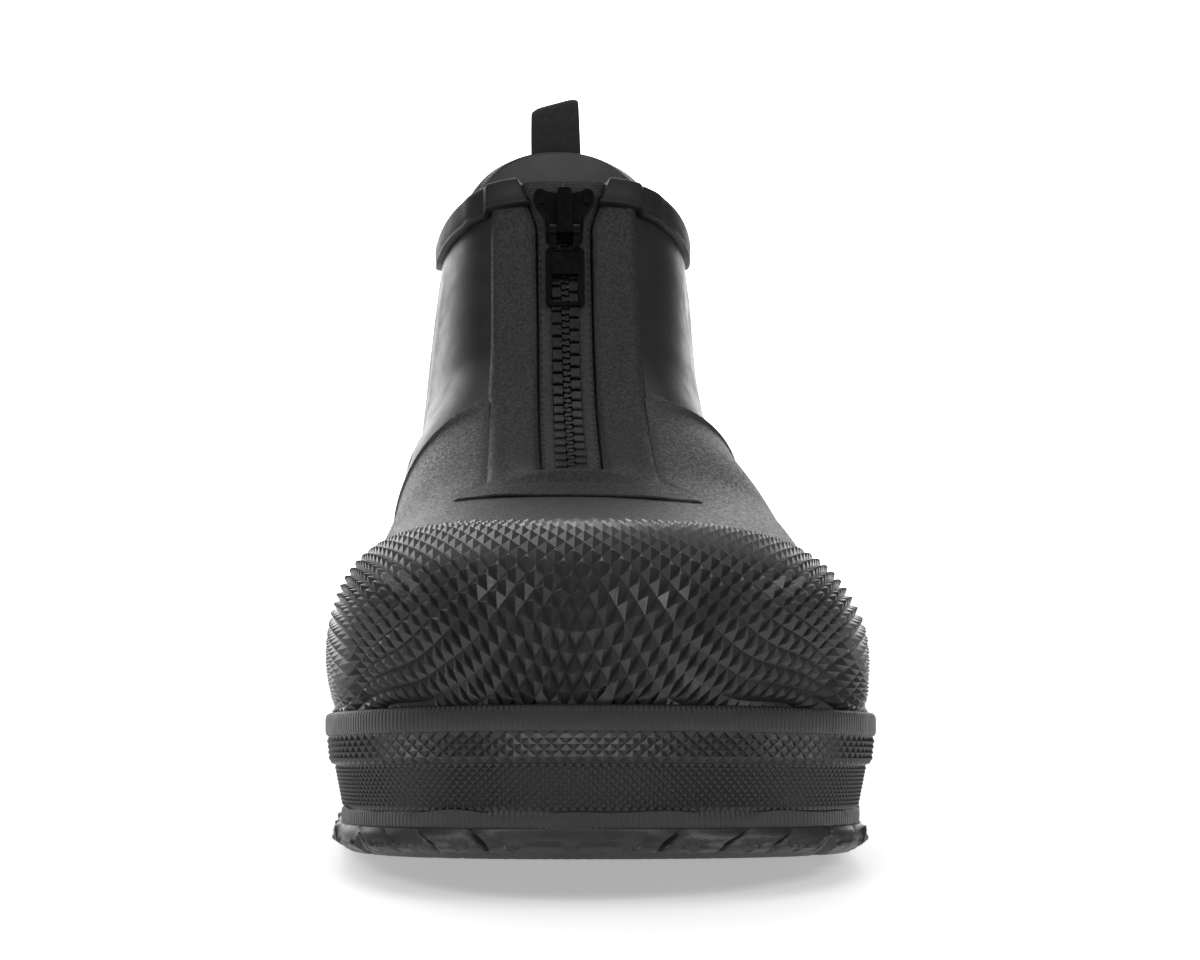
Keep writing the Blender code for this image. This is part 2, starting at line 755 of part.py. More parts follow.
def rod(name, radius, start, end, place, collection, sides=14):
    """A rod along X between two x places."""
    bm = bmesh.new()
    bmesh.ops.create_cone(
        bm, cap_ends=True, segments=sides, radius1=radius * MM, radius2=radius * MM, depth=(end - start) * MM
    )
    for vert in bm.verts:
        x, y, z = vert.co
        vert.co = (z + (start + end) / 2 * MM, y, x)
    bmesh.ops.recalc_face_normals(bm, faces=bm.faces)
    mesh = bpy.data.meshes.new(name)
    bm.to_mesh(mesh)
    bm.free()
    obj = bpy.data.objects.new(name, mesh)
    collection.objects.link(obj)
    obj.location = [c * MM for c in place]
    return obj


def rounded(wide, low, high, corner):
    """A rectangle with cut corners, from low to high along y."""
    half = wide / 2
    return [
        (-half + corner, low),
        (half - corner, low),
        (half, low + corner),
        (half, high - corner),
        (half - corner, high),
        (-half + corner, high),
        (-half, high - corner),
        (-half, low + corner),
    ]


# Half of the slider's outline, from its foot to its crown
SliderEdge = namedtuple("SliderEdge", "x y")
SLIDER_EDGE = (
    SliderEdge(4.4, -8.6),
    SliderEdge(5.4, -7.4),
    SliderEdge(5.8, -1.0),
    SliderEdge(9.0, 4.6),
    SliderEdge(9.0, 7.4),
    SliderEdge(6.6, 8.6),
    SliderEdge(2.6, 7.4),
)


def make_slider(frame, finish):
    right = [(edge.x, edge.y) for edge in SLIDER_EDGE]
    left = [(-x, y) for x, y in reversed(right)]
    slider = flat_plate("zip_slider", right + left, SLIDER_THICK, finish)
    slider.parent = frame
    middle = SLIDER_LIFT + SLIDER_THICK / 2
    slider.location = (0, 0, middle * MM)
    low = SLIDER_LIFT + SLIDER_THICK / 2 - middle
    tall = BRIDGE_TOP - middle - low
    bridge = box("bridge_tool", (BRIDGE_WIDE, BRIDGE_LONG, tall), (0, 0, low + tall / 2), CUTTERS)
    bridge.modifiers.new("edge", "BEVEL").width = 0.8 * MM
    pin = rod("pin_tool", PIN_RADIUS, -PIN_REACH, PIN_REACH, (0, -HINGE_DOWN, HINGE_UP - middle), CUTTERS)
    for tool in (bridge, pin):
        tool.parent = slider
        combine(slider, tool, "UNION")


def make_pull(frame, finish):
    outer = rounded(PULL_WIDE, -PULL_LONG, -PULL_FROM, PULL_CORNER)
    pull = flat_plate("zip_pull", outer, PULL_THICK, finish)
    pull.parent = frame
    pull.location = (0, -HINGE_DOWN * MM, HINGE_UP * MM)
    pull.rotation_euler = (math.radians(-PULL_LEAN), 0, 0)
    for side in (-1, 1):
        start = EYE_FROM if side > 0 else -EYE_TO
        end = EYE_TO if side > 0 else -EYE_FROM
        arm = (EYE_TO - EYE_FROM, PULL_FROM + 1.2, PULL_THICK)
        tools = (
            (rod("eye_tool", EYE_RADIUS, start, end, (0, 0, 0), CUTTERS), "UNION"),
            (box("arm_tool", arm, ((start + end) / 2, -arm[1] / 2, 0), CUTTERS), "UNION"),
        )
        for tool, operation in tools:
            tool.parent = pull
            combine(pull, tool, operation)
    window = (WINDOW_WIDE, WINDOW_TO - WINDOW_FROM, 2 * PULL_THICK)
    opening = box("window_tool", window, (0, -(WINDOW_FROM + WINDOW_TO) / 2, 0), CUTTERS)
    opening.parent = pull
    combine(pull, opening, "DIFFERENCE")
    hole = rod("hole_tool", PIN_RADIUS + PIN_PLAY, -EYE_TO - 1, EYE_TO + 1, (0, 0, 0), CUTTERS)
    hole.parent = pull
    combine(pull, hole, "DIFFERENCE")


# The folded webbing loop on the outside of the back, as places along its length: s, height from the
# collar's top and how far its edges bow forward round the heel
LoopPlace = namedtuple("LoopPlace", "s up bow")
LOOP_WIDE = 18.6
LOOP_THICK = 1.5
LOOP_SLANT = 0.2
PULL_LOOP = (
    LoopPlace(298.1, -9.5, 1.7),
    LoopPlace(297.8, -4, 1.7),
    LoopPlace(299.0, 1, 1.4),
    LoopPlace(302.0, 7, 0.6),
    LoopPlace(303.2, 12.5, 0.3),
    LoopPlace(302.4, 17.4, 0.2),
    LoopPlace(299.8, 20.4, 0.2),
    LoopPlace(297.2, 18.0, 0.2),
    LoopPlace(296.3, 12.5, 0.3),
    LoopPlace(296.5, 7, 0.6),
    LoopPlace(296.8, 1, 1.4),
    LoopPlace(297.0, -4, 1.7),
    LoopPlace(297.4, -9.5, 1.7),
)


def make_pull_loop(finish):
    top = foxing_top(SECTIONS[-1].base_s) + SECTIONS[-1].rise
    grid = []
    for place in PULL_LOOP:
        row = []
        for across in np.linspace(-1, 1, 5):
            x = across * LOOP_WIDE / 2
            slant = LOOP_SLANT * x * max(place.up, 0) / 20
            row.append((x, place.s - place.bow * across**2, top + place.up + slant))
        grid.append(row)
    bm = bmesh.new()
    add_sheet(bm, np.array(grid))
    mesh = mesh_of("pull_loop", bm)
    solidify(add_object("pull_loop", mesh, finish), LOOP_THICK, outward=True)


# A plain oval patch on the inner side of the ankle
PATCH_AT = 8.6
PATCH_ROUND = 78.0
PATCH_U = 0.24
PATCH_HALF = 7.5
PATCH_THICK = 1.3


def make_side_patch(finish):
    rings = []
    for share in (0.0, 0.55, 1.0):
        ring = []
        for turn in np.linspace(0, 2 * math.pi, 19):
            u = PATCH_AT + PATCH_U * share * math.cos(turn)
            at = PATCH_ROUND + PATCH_HALF * share * math.sin(turn)
            here = along_arch(u, -1, np.array([at - 1, at, at + 1]))
            up = along_arch(u + 0.02, -1, np.array([at]))[0] - here[1]
            normal = np.cross(here[0] - here[2], up)
            normal /= np.linalg.norm(normal)
            ring.append(here[1] + normal * GAP * np.sign(np.dot(normal, (-1, 0, 0))))
        rings.append(ring)
    bm = bmesh.new()
    add_sheet(bm, np.array(rings))
    mesh = mesh_of("side_patch", bm)
    face_outward(mesh)
    solidify(add_object("side_patch", mesh, finish), PATCH_THICK, outward=True)


def main():
    for obj in list(bpy.data.objects):
        bpy.data.objects.remove(obj)
    scene = bpy.context.scene.collection
    scene.children.link(PARTS)
    scene.children.link(CUTTERS)
    CUTTERS.hide_render = True
    rubber = material("black_rubber", (0.018, 0.018, 0.02), 0.55)
    cloth = material("black_webbing", (0.02, 0.02, 0.022), 0.9)
    plastic = material("black_plastic", (0.015, 0.015, 0.016), 0.25)
    make_upper(rubber)
    make_toe_cap(rubber)
    make_placket(rubber)
    make_foxing(rubber)
    make_outsole(rubber)
    make_insole(material("insole_fabric", (0.03, 0.03, 0.032), 0.95))
    make_collar_band(rubber)
    make_side_patch(rubber)
    make_pull_loop(cloth)
    make_tape("zip_tape_inner", -1, cloth)
    make_tape("zip_tape_outer", 1, cloth)
    make_teeth("zip_teeth_inner", -1, plastic)
    make_teeth("zip_teeth_outer", 1, plastic)
    frame = zip_frame()
    make_slider(frame, plastic)
    make_pull(frame, plastic)


main()
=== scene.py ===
import math
from collections import namedtuple

import bmesh
import bpy
import numpy as np
from mathutils import Matrix, Vector


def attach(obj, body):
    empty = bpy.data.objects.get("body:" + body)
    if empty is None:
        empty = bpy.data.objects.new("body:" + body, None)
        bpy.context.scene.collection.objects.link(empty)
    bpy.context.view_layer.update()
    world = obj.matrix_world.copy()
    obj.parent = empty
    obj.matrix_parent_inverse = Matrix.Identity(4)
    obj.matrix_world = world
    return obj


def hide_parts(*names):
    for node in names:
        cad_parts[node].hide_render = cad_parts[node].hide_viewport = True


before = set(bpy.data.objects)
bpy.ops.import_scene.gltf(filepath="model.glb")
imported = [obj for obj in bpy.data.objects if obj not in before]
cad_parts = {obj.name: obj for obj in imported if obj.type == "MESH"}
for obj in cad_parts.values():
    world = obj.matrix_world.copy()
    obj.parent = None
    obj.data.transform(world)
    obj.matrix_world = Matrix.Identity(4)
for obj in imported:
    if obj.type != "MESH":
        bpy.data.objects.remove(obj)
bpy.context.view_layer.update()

# The overshoe's own surface, in millimetres: x across, s back from the toe tip, z up
MM = 0.001
LENGTH = 312.0
SIDE_SHIFT = -1.84
TOE_SPRING = 10.0
SPRING_END = 95.0
SPRING_POWER = 1.5
SOLE_EDGE = 8.8
HEEL_RISE = 9.0
HEEL_RISE_FROM = 120.0
HEEL_RISE_TO = 235.0
WALL = 2.5
FOXING_HEIGHT = 20.0
FOXING_OUT = 3.7
SKIRT_TUCK = 2.6
INSOLE_THICK = 3.5
INSOLE_INSET = 6.4
INSOLE_LIFT = 0.6
GAP = 0.3
TOE_START = FOXING_OUT
TOE_CURVE_FROM = 58.0
HEEL_CURVE_FROM = 262.0
HEEL_END = LENGTH - FOXING_OUT
Outline = namedtuple("Outline", "s inner outer")
OUTLINE = (
    Outline(58, 53.8, 56.2),
    Outline(85, 55.8, 59.0),
    Outline(112, 55.0, 60.0),
    Outline(148, 47.5, 56.5),
    Outline(188, 38.0, 48.0),
    Outline(222, 35.5, 41.5),
    Outline(262, 36.5, 37.5),
)
Level = namedtuple("Level", "rise back waist_inner waist_outer ankle_inner ankle_outer heel")
WAIST_S = 190.0
ANKLE_S = 228.0
HEEL_ROUND = 44.0
HEEL_FULL = 2.3
LEVELS = (
    Level(0, HEEL_END, 37.8, 47.6, 35.6, 40.6, 37.0),
    Level(28, HEEL_END + 1, 48.0, 50.5, 41.0, 42.0, 37.3),
    Level(52, HEEL_END - 1, 52.5, 50.5, 44.5, 42.5, 37.0),
    Level(80, 303, 49.5, 45.5, 43.5, 41.0, 36.3),
    Level(110, 297.5, 42.5, 40.5, 41.0, 39.6, 36.0),
    Level(142, 294.5, 38.8, 38.0, 39.3, 38.4, 34.5),
    Level(180, 293, 39.4, 38.4, 39.4, 38.4, 34.5),
)
Section = namedtuple(
    "Section", "name base_s rise top_x top_s top_z widest full_inner full_outer sweep dip steps"
)
SECTIONS = (
    Section("toe_edge", 58, 0, -7, TOE_START, 38.8, 0, 2.3, 2.2, 0, 0, 2),
    Section("toe_wall", 72, 0, -6, 5.0, 50, 0, 2.8, 2.6, 0, 0, 2),
    Section("toe_crown", 88, 0, -4.5, 14, 62, 0, 3.6, 3.1, 3, 0, 2),
    Section("toe_box", 104, 0, -3, 32, 69, 0, 4.4, 3.3, 8, 0, 2),
    Section("cap_edge", 120, 0, -2, 52, 72.8, 0, 5.0, 3.5, 12, 0, 3),
    Section("vamp_lip", 145, 0, -1.7, 95, 80.3, 0.1, 4.6, 4.6, 10, 0, 2),
    Section("zip_foot", 160, 0, -1.7, 112, 85.5, 0.2, 3.8, 4.0, 6, 0, 2),
    Section("instep", 190, 0, -1.7, 134, 98, 0.35, 3.0, 3.3, 0, 0, 2),
    Section("vamp_step", 235, 0, -1.7, 150, 112, 0.5, 2.6, 2.7, 0, 0, 5),
    Section("heel", HEEL_END, 0, -1.7, 160, 130, 0.62, 2.4, 2.5, 0, 0, 3),
    Section("ankle", 306.5, 46, -1.7, 166, 145, 0.62, 2.4, 2.4, 0, 4, 2),
    Section("shaft", 299, 100, -1.7, 171, 157.5, 0.6, 2.5, 2.5, 0, 14, 2),
    Section("band", 294, 170.2, -1.7, 174.2, 168.2, 0.55, 2.6, 2.6, 0, 24.5, 1),
    Section("collar", 293, 181.2, -1.7, 176, 178.7, 0.55, 2.6, 2.6, 0, 29, 0),
)
ROW_OF = {section.name: i for i, section in enumerate(SECTIONS)}
LAST = len(SECTIONS) - 1
DIP_POWER = 1.15
SLIT_HALF = 8.3
SLIT_FLARE = 4.7
SLIT_FLARE_OVER = 1.6
TAPE_LAP = 4.2
PLACKET_HALF = 22.5
PLACKET_LIP_HALF = 31.0
ARCH_POINTS = 160
SIDES = ((-1, "inner"), (1, "outer"))


def smooth(at, places, values):
    """Monotone cubic through the values at their places."""
    places = np.asarray(places, float)
    values = np.asarray(values, float)
    width = np.diff(places)
    grade = np.diff(values) / width
    slope = np.zeros(len(values))
    for k in range(1, len(values) - 1):
        if grade[k - 1] * grade[k] > 0:
            before = 2 * width[k] + width[k - 1]
            after = width[k] + 2 * width[k - 1]
            slope[k] = (before + after) / (before / grade[k - 1] + after / grade[k])
    slope[0] = grade[0]
    slope[-1] = grade[-1]
    k = np.clip(np.searchsorted(places, at, side="right") - 1, 0, len(width) - 1)
    t = (at - places[k]) / width[k]
    start = values[k] * (1 + 2 * t) * (1 - t) ** 2 + slope[k] * width[k] * t * (1 - t) ** 2
    end = values[k + 1] * t * t * (3 - 2 * t) + slope[k + 1] * width[k] * t * t * (t - 1)
    return start + end


def ramp(value, low, high):
    t = np.clip((value - low) / (high - low), 0, 1)
    return t * t * (3 - 2 * t)


def bump_at(value, place, width):
    return np.exp(-(((value - place) / width) ** 2))


def run_along(points):
    """Length run along a line of points, from nothing at its first."""
    return np.concatenate([[0], np.cumsum(np.linalg.norm(np.diff(points, axis=0), axis=1))])


def read_line(at, run, points):
    """Points of a line at places of its run."""
    return np.column_stack([np.interp(at, run, points[:, k]) for k in range(3)])


def between(first, last, shares):
    """Grid of points at the shares of the way from each point of one line to its partner on the other."""
    return first[:, None] + (last - first)[:, None] * np.asarray(shares)[None, :, None]


def floor_line(s):
    return TOE_SPRING * np.clip(1 - s / SPRING_END, 0, 1) ** SPRING_POWER


def sole_top(s):
    return SOLE_EDGE + floor_line(s) + HEEL_RISE * ramp(s, HEEL_RISE_FROM, HEEL_RISE_TO)


def foxing_top(s):
    return sole_top(s) + FOXING_HEIGHT


def outline_half(side, s):
    column = [row.outer if side > 0 else row.inner for row in OUTLINE]
    return smooth(np.clip(s, TOE_CURVE_FROM, HEEL_CURVE_FROM), [row.s for row in OUTLINE], column)


def back_seam(rise):
    rises = [row.rise for row in LEVELS]
    return smooth(np.clip(rise, 0, rises[-1]), rises, [row.back for row in LEVELS])


def level_half(side, s, rise):
    rises = [row.rise for row in LEVELS]
    rise = np.clip(rise, 0, rises[-1])
    columns = [
        [row.waist_outer if side > 0 else row.waist_inner for row in LEVELS],
        [row.ankle_outer if side > 0 else row.ankle_inner for row in LEVELS],
        [row.heel for row in LEVELS],
    ]
    waist, ankle, heel = (smooth(rise, rises, column) for column in columns)
    fore = ramp(s, WAIST_S, ANKLE_S)
    aft = ramp(s, ANKLE_S, HEEL_END - HEEL_ROUND)
    return waist + (ankle - waist) * fore + (heel - ankle) * aft


def wall_half(side, s, z):
    s = np.asarray(s, float)
    rise = z - foxing_top(s)
    grown = level_half(side, s, rise) - level_half(side, s, 0 * s)
    along = np.clip((s - back_seam(rise)) / HEEL_ROUND + 1, 0, 1)
    return (outline_half(side, s) + grown) * (1 - along**HEEL_FULL) ** (1 / HEEL_FULL)


def section_at(u):
    places = range(len(SECTIONS))
    columns = zip(*[section[1:] for section in SECTIONS])
    return Section("", *(float(smooth(u, places, column)) for column in columns))


ARCHES = {}


def half_arch(u, side):
    """One side of the arch at u from its top to its base, with the length run along it."""
    key = (round(float(u), 5), side)
    if key in ARCHES:
        return ARCHES[key]
    row = section_at(u)
    base_s = back_seam(row.rise) if u >= ROW_OF["heel"] else row.base_s
    base_z = foxing_top(base_s) + row.rise
    full = row.full_outer if side > 0 else row.full_inner
    turn = np.linspace(math.pi / 2, 0, ARCH_POINTS)
    reach = np.cos(turn) ** (2 / full)
    f = row.widest + (1 - row.widest) * np.sin(turn) ** (2 / full)
    if row.widest > 0:
        down = np.linspace(0, math.pi / 2, ARCH_POINTS)[1:]
        reach = np.append(reach, np.ones(len(down)))
        f = np.append(f, row.widest * (1 - np.sin(down)))
    s = base_s + (row.top_s - base_s) * f + row.sweep * reach**2 * f
    z = base_z + (row.top_z - base_z) * f - row.dip * np.sin(math.pi * np.clip(f, 0, 1)) ** DIP_POWER
    on_foxing = max(0.0, 1 - u)
    z = z + on_foxing * (foxing_top(s) - z)
    wall = wall_half(side, s, z)
    half = wall[ARCH_POINTS - 1]
    over = np.clip((f - row.widest) / (1 - row.widest), 0, 1)
    upright = (wall - half) * (1 - over) ** 2 * (1 - ramp(u, ROW_OF["zip_foot"], ROW_OF["instep"]))
    lean = row.top_x * f
    x = lean + side * (half + upright - side * lean) * reach
    x[ARCH_POINTS:] = side * wall[ARCH_POINTS:]
    points = np.column_stack([x, s, z])
    ARCHES[key] = (points, run_along(points))
    return ARCHES[key]


def arch_length(u, side):
    return half_arch(u, side)[1][-1]


def strip(u, distances):
    """Points of the arch at u at signed distances from its top: inner side below zero, outer above."""
    distances = np.asarray(distances, float)
    made = np.zeros((len(distances), 3))
    for side in (-1, 1):
        mine = distances < 0 if side < 0 else distances >= 0
        points, run = half_arch(u, side)
        made[mine] = read_line(np.abs(distances[mine]), run, points)
    return made


def slit_half(u):
    return SLIT_HALF + SLIT_FLARE * ramp(u, LAST - SLIT_FLARE_OVER, LAST)


def placket_half(u):
    lip = ROW_OF["vamp_lip"]
    return PLACKET_HALF + (PLACKET_LIP_HALF - PLACKET_HALF) * (1 - ramp(u, lip, lip + 1.0))


# Over this height above the foxing, behind the toe's curve, the upper's normals turn level
UPRIGHT_OVER = 5.0
UPRIGHT_FROM = 0.6 * TOE_CURVE_FROM


def normals_of(grid, closed_from=None):
    """Outward unit normals of a grid of the upper; rows from closed_from on meet at the back seam."""
    along = np.gradient(grid, axis=0)
    across = np.gradient(grid, axis=1)
    if closed_from is not None:
        seam = grid[closed_from:, 1] - grid[closed_from:, -2]
        across[closed_from:, 0] = seam
        across[closed_from:, -1] = seam
    normal = np.cross(across, along)
    normal /= np.maximum(np.linalg.norm(normal, axis=2, keepdims=True), 1e-9)
    side = np.where(grid[..., 0] < 0, -1.0, 1.0)
    grade = np.zeros(side.shape)
    for sign in (-1, 1):
        ahead = wall_half(sign, grid[..., 1] + 1, grid[..., 2])
        behind = wall_half(sign, grid[..., 1] - 1, grid[..., 2])
        grade = np.where(side == sign, (ahead - behind) / 2, grade)
    wall = np.stack([side, -grade, np.zeros(side.shape)], axis=-1)
    wall /= np.linalg.norm(wall, axis=-1, keepdims=True)
    level = np.clip(1 - (grid[..., 2] - foxing_top(grid[..., 1])) / UPRIGHT_OVER, 0, 1)
    level = np.where(grid[..., 1] < UPRIGHT_FROM, 0, level)
    normal += (wall - normal) * level[..., None]
    if closed_from is not None:
        seam = normal[closed_from:, 0] + normal[closed_from:, -1]
        seam[:, 0] = 0
        normal[closed_from:, 0] = normal[closed_from:, -1] = seam
    return normal / np.maximum(np.linalg.norm(normal, axis=2, keepdims=True), 1e-9)


def to_frame(points):
    return (np.asarray(points, float) + (SIDE_SHIFT, -LENGTH / 2, 0)) * MM


# A cell whose one way across is longer than the other by this much is split along the short way
SKEWED = 1.15
SHOE_MIDDLE = (0, 0.55 * LENGTH, 70)
SLIVER = 0.001


class Piece:
    """Points, faces and texture places of one piece, gathered grid by grid."""

    def __init__(self):
        self.points = []
        self.faces = []
        self.uvs = []
        self.marks = []
        self.count = 0

    def grid(self, points, keep=None, uv=None, studs=False, short=False, mark=0):
        points = np.asarray(points, float)
        rows, cols = points.shape[:2]
        i, j = np.meshgrid(np.arange(rows - 1), np.arange(cols - 1), indexing="ij")
        a = i * cols + j + self.count
        quad = np.stack([a, a + 1, a + cols + 1, a + cols], axis=-1)
        there = np.ones(i.shape, bool) if keep is None else keep
        turned = np.zeros(i.shape, bool)
        if studs:
            turned = (i + j) % 2 == 0
        elif short:
            ways = [np.linalg.norm(points[i, j + k] - points[i + 1, j + 1 - k], axis=-1) for k in (0, 1)]
            turned = ways[0] > SKEWED * ways[1]
        cut = quad[there & turned]
        faces = np.vstack([cut[:, [0, 1, 3]], cut[:, [1, 2, 3]]]).tolist()
        rest = quad[there & ~turned]
        faces += np.vstack([rest[:, [0, 1, 2]], rest[:, [0, 2, 3]]]).tolist() if studs else rest.tolist()
        self.faces.extend(faces)
        self.marks.extend([mark] * len(faces))
        self.points.append(points.reshape(-1, 3))
        self.uvs.append(np.zeros((rows * cols, 2)) if uv is None else np.asarray(uv, float).reshape(-1, 2))
        self.count += rows * cols

    def make(self, name, finishes, nodes, slot, **how):
        mesh = bpy.data.meshes.new(name)
        mesh.from_pydata(to_frame(np.vstack(self.points)).tolist(), [], self.faces)
        layer = mesh.uv_layers.new(name="place")
        corner = np.zeros(len(mesh.loops), int)
        mesh.loops.foreach_get("vertex_index", corner)
        layer.data.foreach_set("uv", np.vstack(self.uvs)[corner].ravel())
        mesh.polygons.foreach_set("material_index", self.marks)
        return finish_mesh(name, mesh, finishes, nodes, slot, **how)


def finish_mesh(
    name, mesh, finishes, nodes, slot, body="shoe", sharp=35.0, flat=False, weld=0.002, outward=False
):
    """Weld a mesh, turn its faces outward and set it in the scene on its body."""
    bm = bmesh.new()
    bm.from_mesh(mesh)
    bmesh.ops.remove_doubles(bm, verts=bm.verts, dist=weld * MM)
    bmesh.ops.dissolve_degenerate(bm, edges=bm.edges, dist=SLIVER * MM)
    bmesh.ops.recalc_face_normals(bm, faces=bm.faces)
    if outward:
        middle = Vector(to_frame(SHOE_MIDDLE))
        total = sum(f.calc_area() * f.normal.dot(f.calc_center_median() - middle) for f in bm.faces)
        if total < 0:
            bmesh.ops.reverse_faces(bm, faces=bm.faces)
    bm.to_mesh(mesh)
    bm.free()
    for one in finishes:
        mesh.materials.append(one)
    if flat:
        mesh.shade_flat()
    else:
        mesh.shade_smooth()
        mesh.set_sharp_from_angle(angle=math.radians(sharp))
    obj = bpy.data.objects.new(name, mesh)
    bpy.context.scene.collection.objects.link(obj)
    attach(obj, body)
    if nodes:
        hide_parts(*nodes)
    return obj


def thicken(obj, thickness, lining=0):
    """Give a sheet its wall, inwards; the inner face takes the material that many places further on."""
    shell = obj.modifiers.new("wall", "SOLIDIFY")
    shell.thickness = thickness * MM
    shell.offset = -1.0
    shell.use_quality_normals = lining == 0
    shell.material_offset = lining
    shell.material_offset_rim = 0


def round_edges(obj, width, segments, angle):
    edge = obj.modifiers.new("edges", "BEVEL")
    edge.width = width * MM
    edge.segments = segments
    edge.limit_method = "ANGLE"
    edge.angle_limit = math.radians(angle)
    edge.use_clamp_overlap = True


# Materials
class Nodes:
    """A node tree, with short ways to add nodes and links."""

    def __init__(self, tree):
        self.tree = tree

    def node(self, kind, **values):
        made = self.tree.nodes.new(kind)
        for key, value in values.items():
            if key in made.inputs:
                made.inputs[key].default_value = value
            else:
                setattr(made, key, value)
        return made

    def link(self, out, into):
        self.tree.links.new(out, into)

    def coords(self, kind):
        return self.node("ShaderNodeTexCoord").outputs[kind]

    def reckon(self, operation, *values):
        """A math node over values that are sockets or numbers."""
        made = self.node("ShaderNodeMath", operation=operation)
        for into, value in zip(made.inputs, values):
            if isinstance(value, float):
                into.default_value = value
            else:
                self.link(value, into)
        return made.outputs[0]

    def range(self, value, low, high, start=0.3, end=0.7, curve="LINEAR"):
        made = self.node("ShaderNodeMapRange", interpolation_type=curve)
        for key, limit in zip(("From Min", "From Max", "To Min", "To Max"), (start, end, low, high)):
            made.inputs[key].default_value = limit
        self.link(value, made.inputs["Value"])
        return made.outputs["Result"]


class Shader(Nodes):
    """A Principled material."""

    def __init__(self, name, colour, roughness, **extra):
        self.made = bpy.data.materials.new(name)
        self.made.use_nodes = True
        super().__init__(self.made.node_tree)
        self.bsdf = self.tree.nodes["Principled BSDF"]
        self.bsdf.inputs["Base Color"].default_value = (*colour, 1)
        self.bsdf.inputs["Roughness"].default_value = roughness
        for key, value in extra.items():
            self.bsdf.inputs[key.replace("_", " ")].default_value = value
        self.normal = None

    def noise(self, scale, detail=2.0, rough=0.5):
        made = self.node("ShaderNodeTexNoise", Scale=scale, Detail=detail, Roughness=rough)
        self.link(self.coords("Object"), made.inputs["Vector"])
        return made.outputs["Fac"]

    def wave(self, per_mm, across=False):
        """Fine even ribs over the texture places, which are in millimetres."""
        split = self.node("ShaderNodeSeparateXYZ")
        self.link(self.coords("UV"), split.inputs["Vector"])
        turn = self.reckon("MULTIPLY", split.outputs["Y" if across else "X"], 2 * math.pi * per_mm)
        return self.reckon("SINE", turn)

    def vary_colour(self, value, dark, light, start=0.3, end=0.7):
        mix = self.node("ShaderNodeMix", data_type="RGBA")
        self.link(self.range(value, 0, 1, start, end), mix.inputs["Factor"])
        mix.inputs["A"].default_value = (*dark, 1)
        mix.inputs["B"].default_value = (*light, 1)
        self.link(mix.outputs["Result"], self.bsdf.inputs["Base Color"])

    def vary_roughness(self, value, low, high, start=0.3, end=0.7):
        self.link(self.range(value, low, high, start, end), self.bsdf.inputs["Roughness"])

    def bump(self, value, distance, strength=1.0):
        made = self.node("ShaderNodeBump", Strength=strength, Distance=distance * MM)
        self.link(value, made.inputs["Height"])
        if self.normal is not None:
            self.link(self.normal, made.inputs["Normal"])
        self.normal = made.outputs["Normal"]
        self.link(self.normal, self.bsdf.inputs["Normal"])


def grey(tone, blue):
    """A grey in thousandths of full white, with its own blue."""
    return (tone / 1000, tone / 1000, blue / 1000)


def times(colour, factor):
    return tuple(factor * c for c in colour)


Ribs = namedtuple("Ribs", "per_mm deep")
# Noise limits of the grain's specks, which are painted lighter in the base colour as glints
GRAIN_GLINT_SPECKS = (0.35, 0.68)


def rubber(name, dark, light, rough, grain, grain_scale=1500.0, specular=0.5, grain_glints=False, ribs=None):
    """Cloudy dark rubber, with a leathery grain whose glints are painted as lighter, glossier specks in the
    base colour, or with fine ribs.
    """
    made = Shader(name, dark, rough, Specular_IOR_Level=specular)
    if grain_glints:
        # Painted glints: lighter, glossier specks in the base colour stand in for light caught by the grain
        grain_glint_speck = made.noise(grain_scale * 0.8, 1.0)
        made.vary_colour(grain_glint_speck, times(dark, 0.7), times(light, 1.5), *GRAIN_GLINT_SPECKS)
        made.vary_roughness(grain_glint_speck, rough + 0.1, rough - 0.12, *GRAIN_GLINT_SPECKS)
    else:
        made.vary_colour(made.noise(38.0, 4.0, 0.6), dark, light)
        made.vary_roughness(made.noise(160.0, 3.0, 0.6), rough - 0.06, rough + 0.07)
    made.bump(made.noise(70.0), 0.25, 0.25)
    made.bump(made.noise(grain_scale, 2.0, 0.6), grain)
    if ribs:
        made.bump(made.wave(ribs.per_mm), ribs.deep, 0.7)
    return made.made


def cloth(name, base, rough, sheen, sheen_rough):
    return Shader(name, base, rough, Sheen_Weight=sheen, Sheen_Roughness=sheen_rough)


def lining_cloth():
    made = cloth("lining_cloth", grey(40, 42), 0.92, 0.25, 0.5)
    made.vary_colour(made.noise(60.0, 4.0), grey(64, 66), grey(80, 83))
    made.bump(made.noise(1700.0, 2.0, 0.7), 0.15)
    return made.made


def insole_cloth():
    made = cloth("insole_cloth", grey(50, 52), 0.95, 0.2, 0.5)
    made.vary_colour(made.noise(90.0, 4.0), grey(35, 37), grey(60, 63))
    made.bump(made.noise(1500.0, 2.0, 0.7), 0.3)
    return made.made


def webbing():
    made = cloth("webbing", grey(12, 13), 0.85, 0.12, 0.4)
    made.vary_colour(made.noise(500.0, 3.0), grey(4, 4.4), grey(11, 11.5))
    made.bump(made.reckon("MULTIPLY", made.wave(0.62), made.wave(0.5, across=True)), 0.12, 0.6)
    made.bump(made.noise(2400.0), 0.05)
    return made.made


def tape_cloth():
    made = cloth("tape_cloth", grey(16, 17), 0.75, 0.1, 0.4)
    made.vary_colour(made.noise(700.0, 3.0), grey(12, 13), grey(26, 27))
    made.bump(made.wave(1.1, across=True), 0.1, 0.6)
    made.bump(made.noise(1500.0, 3.0, 0.7), 0.3, 0.9)
    return made.made


def hard_plastic(name, colour, rough, specular):
    made = Shader(name, colour, rough, Specular_IOR_Level=specular)
    made.vary_roughness(made.noise(420.0, 3.0), rough - 0.05, rough + 0.08)
    made.vary_colour(made.noise(120.0, 3.0), colour, times(colour, 1.4))
    made.bump(made.noise(900.0), 0.03)
    return made.made


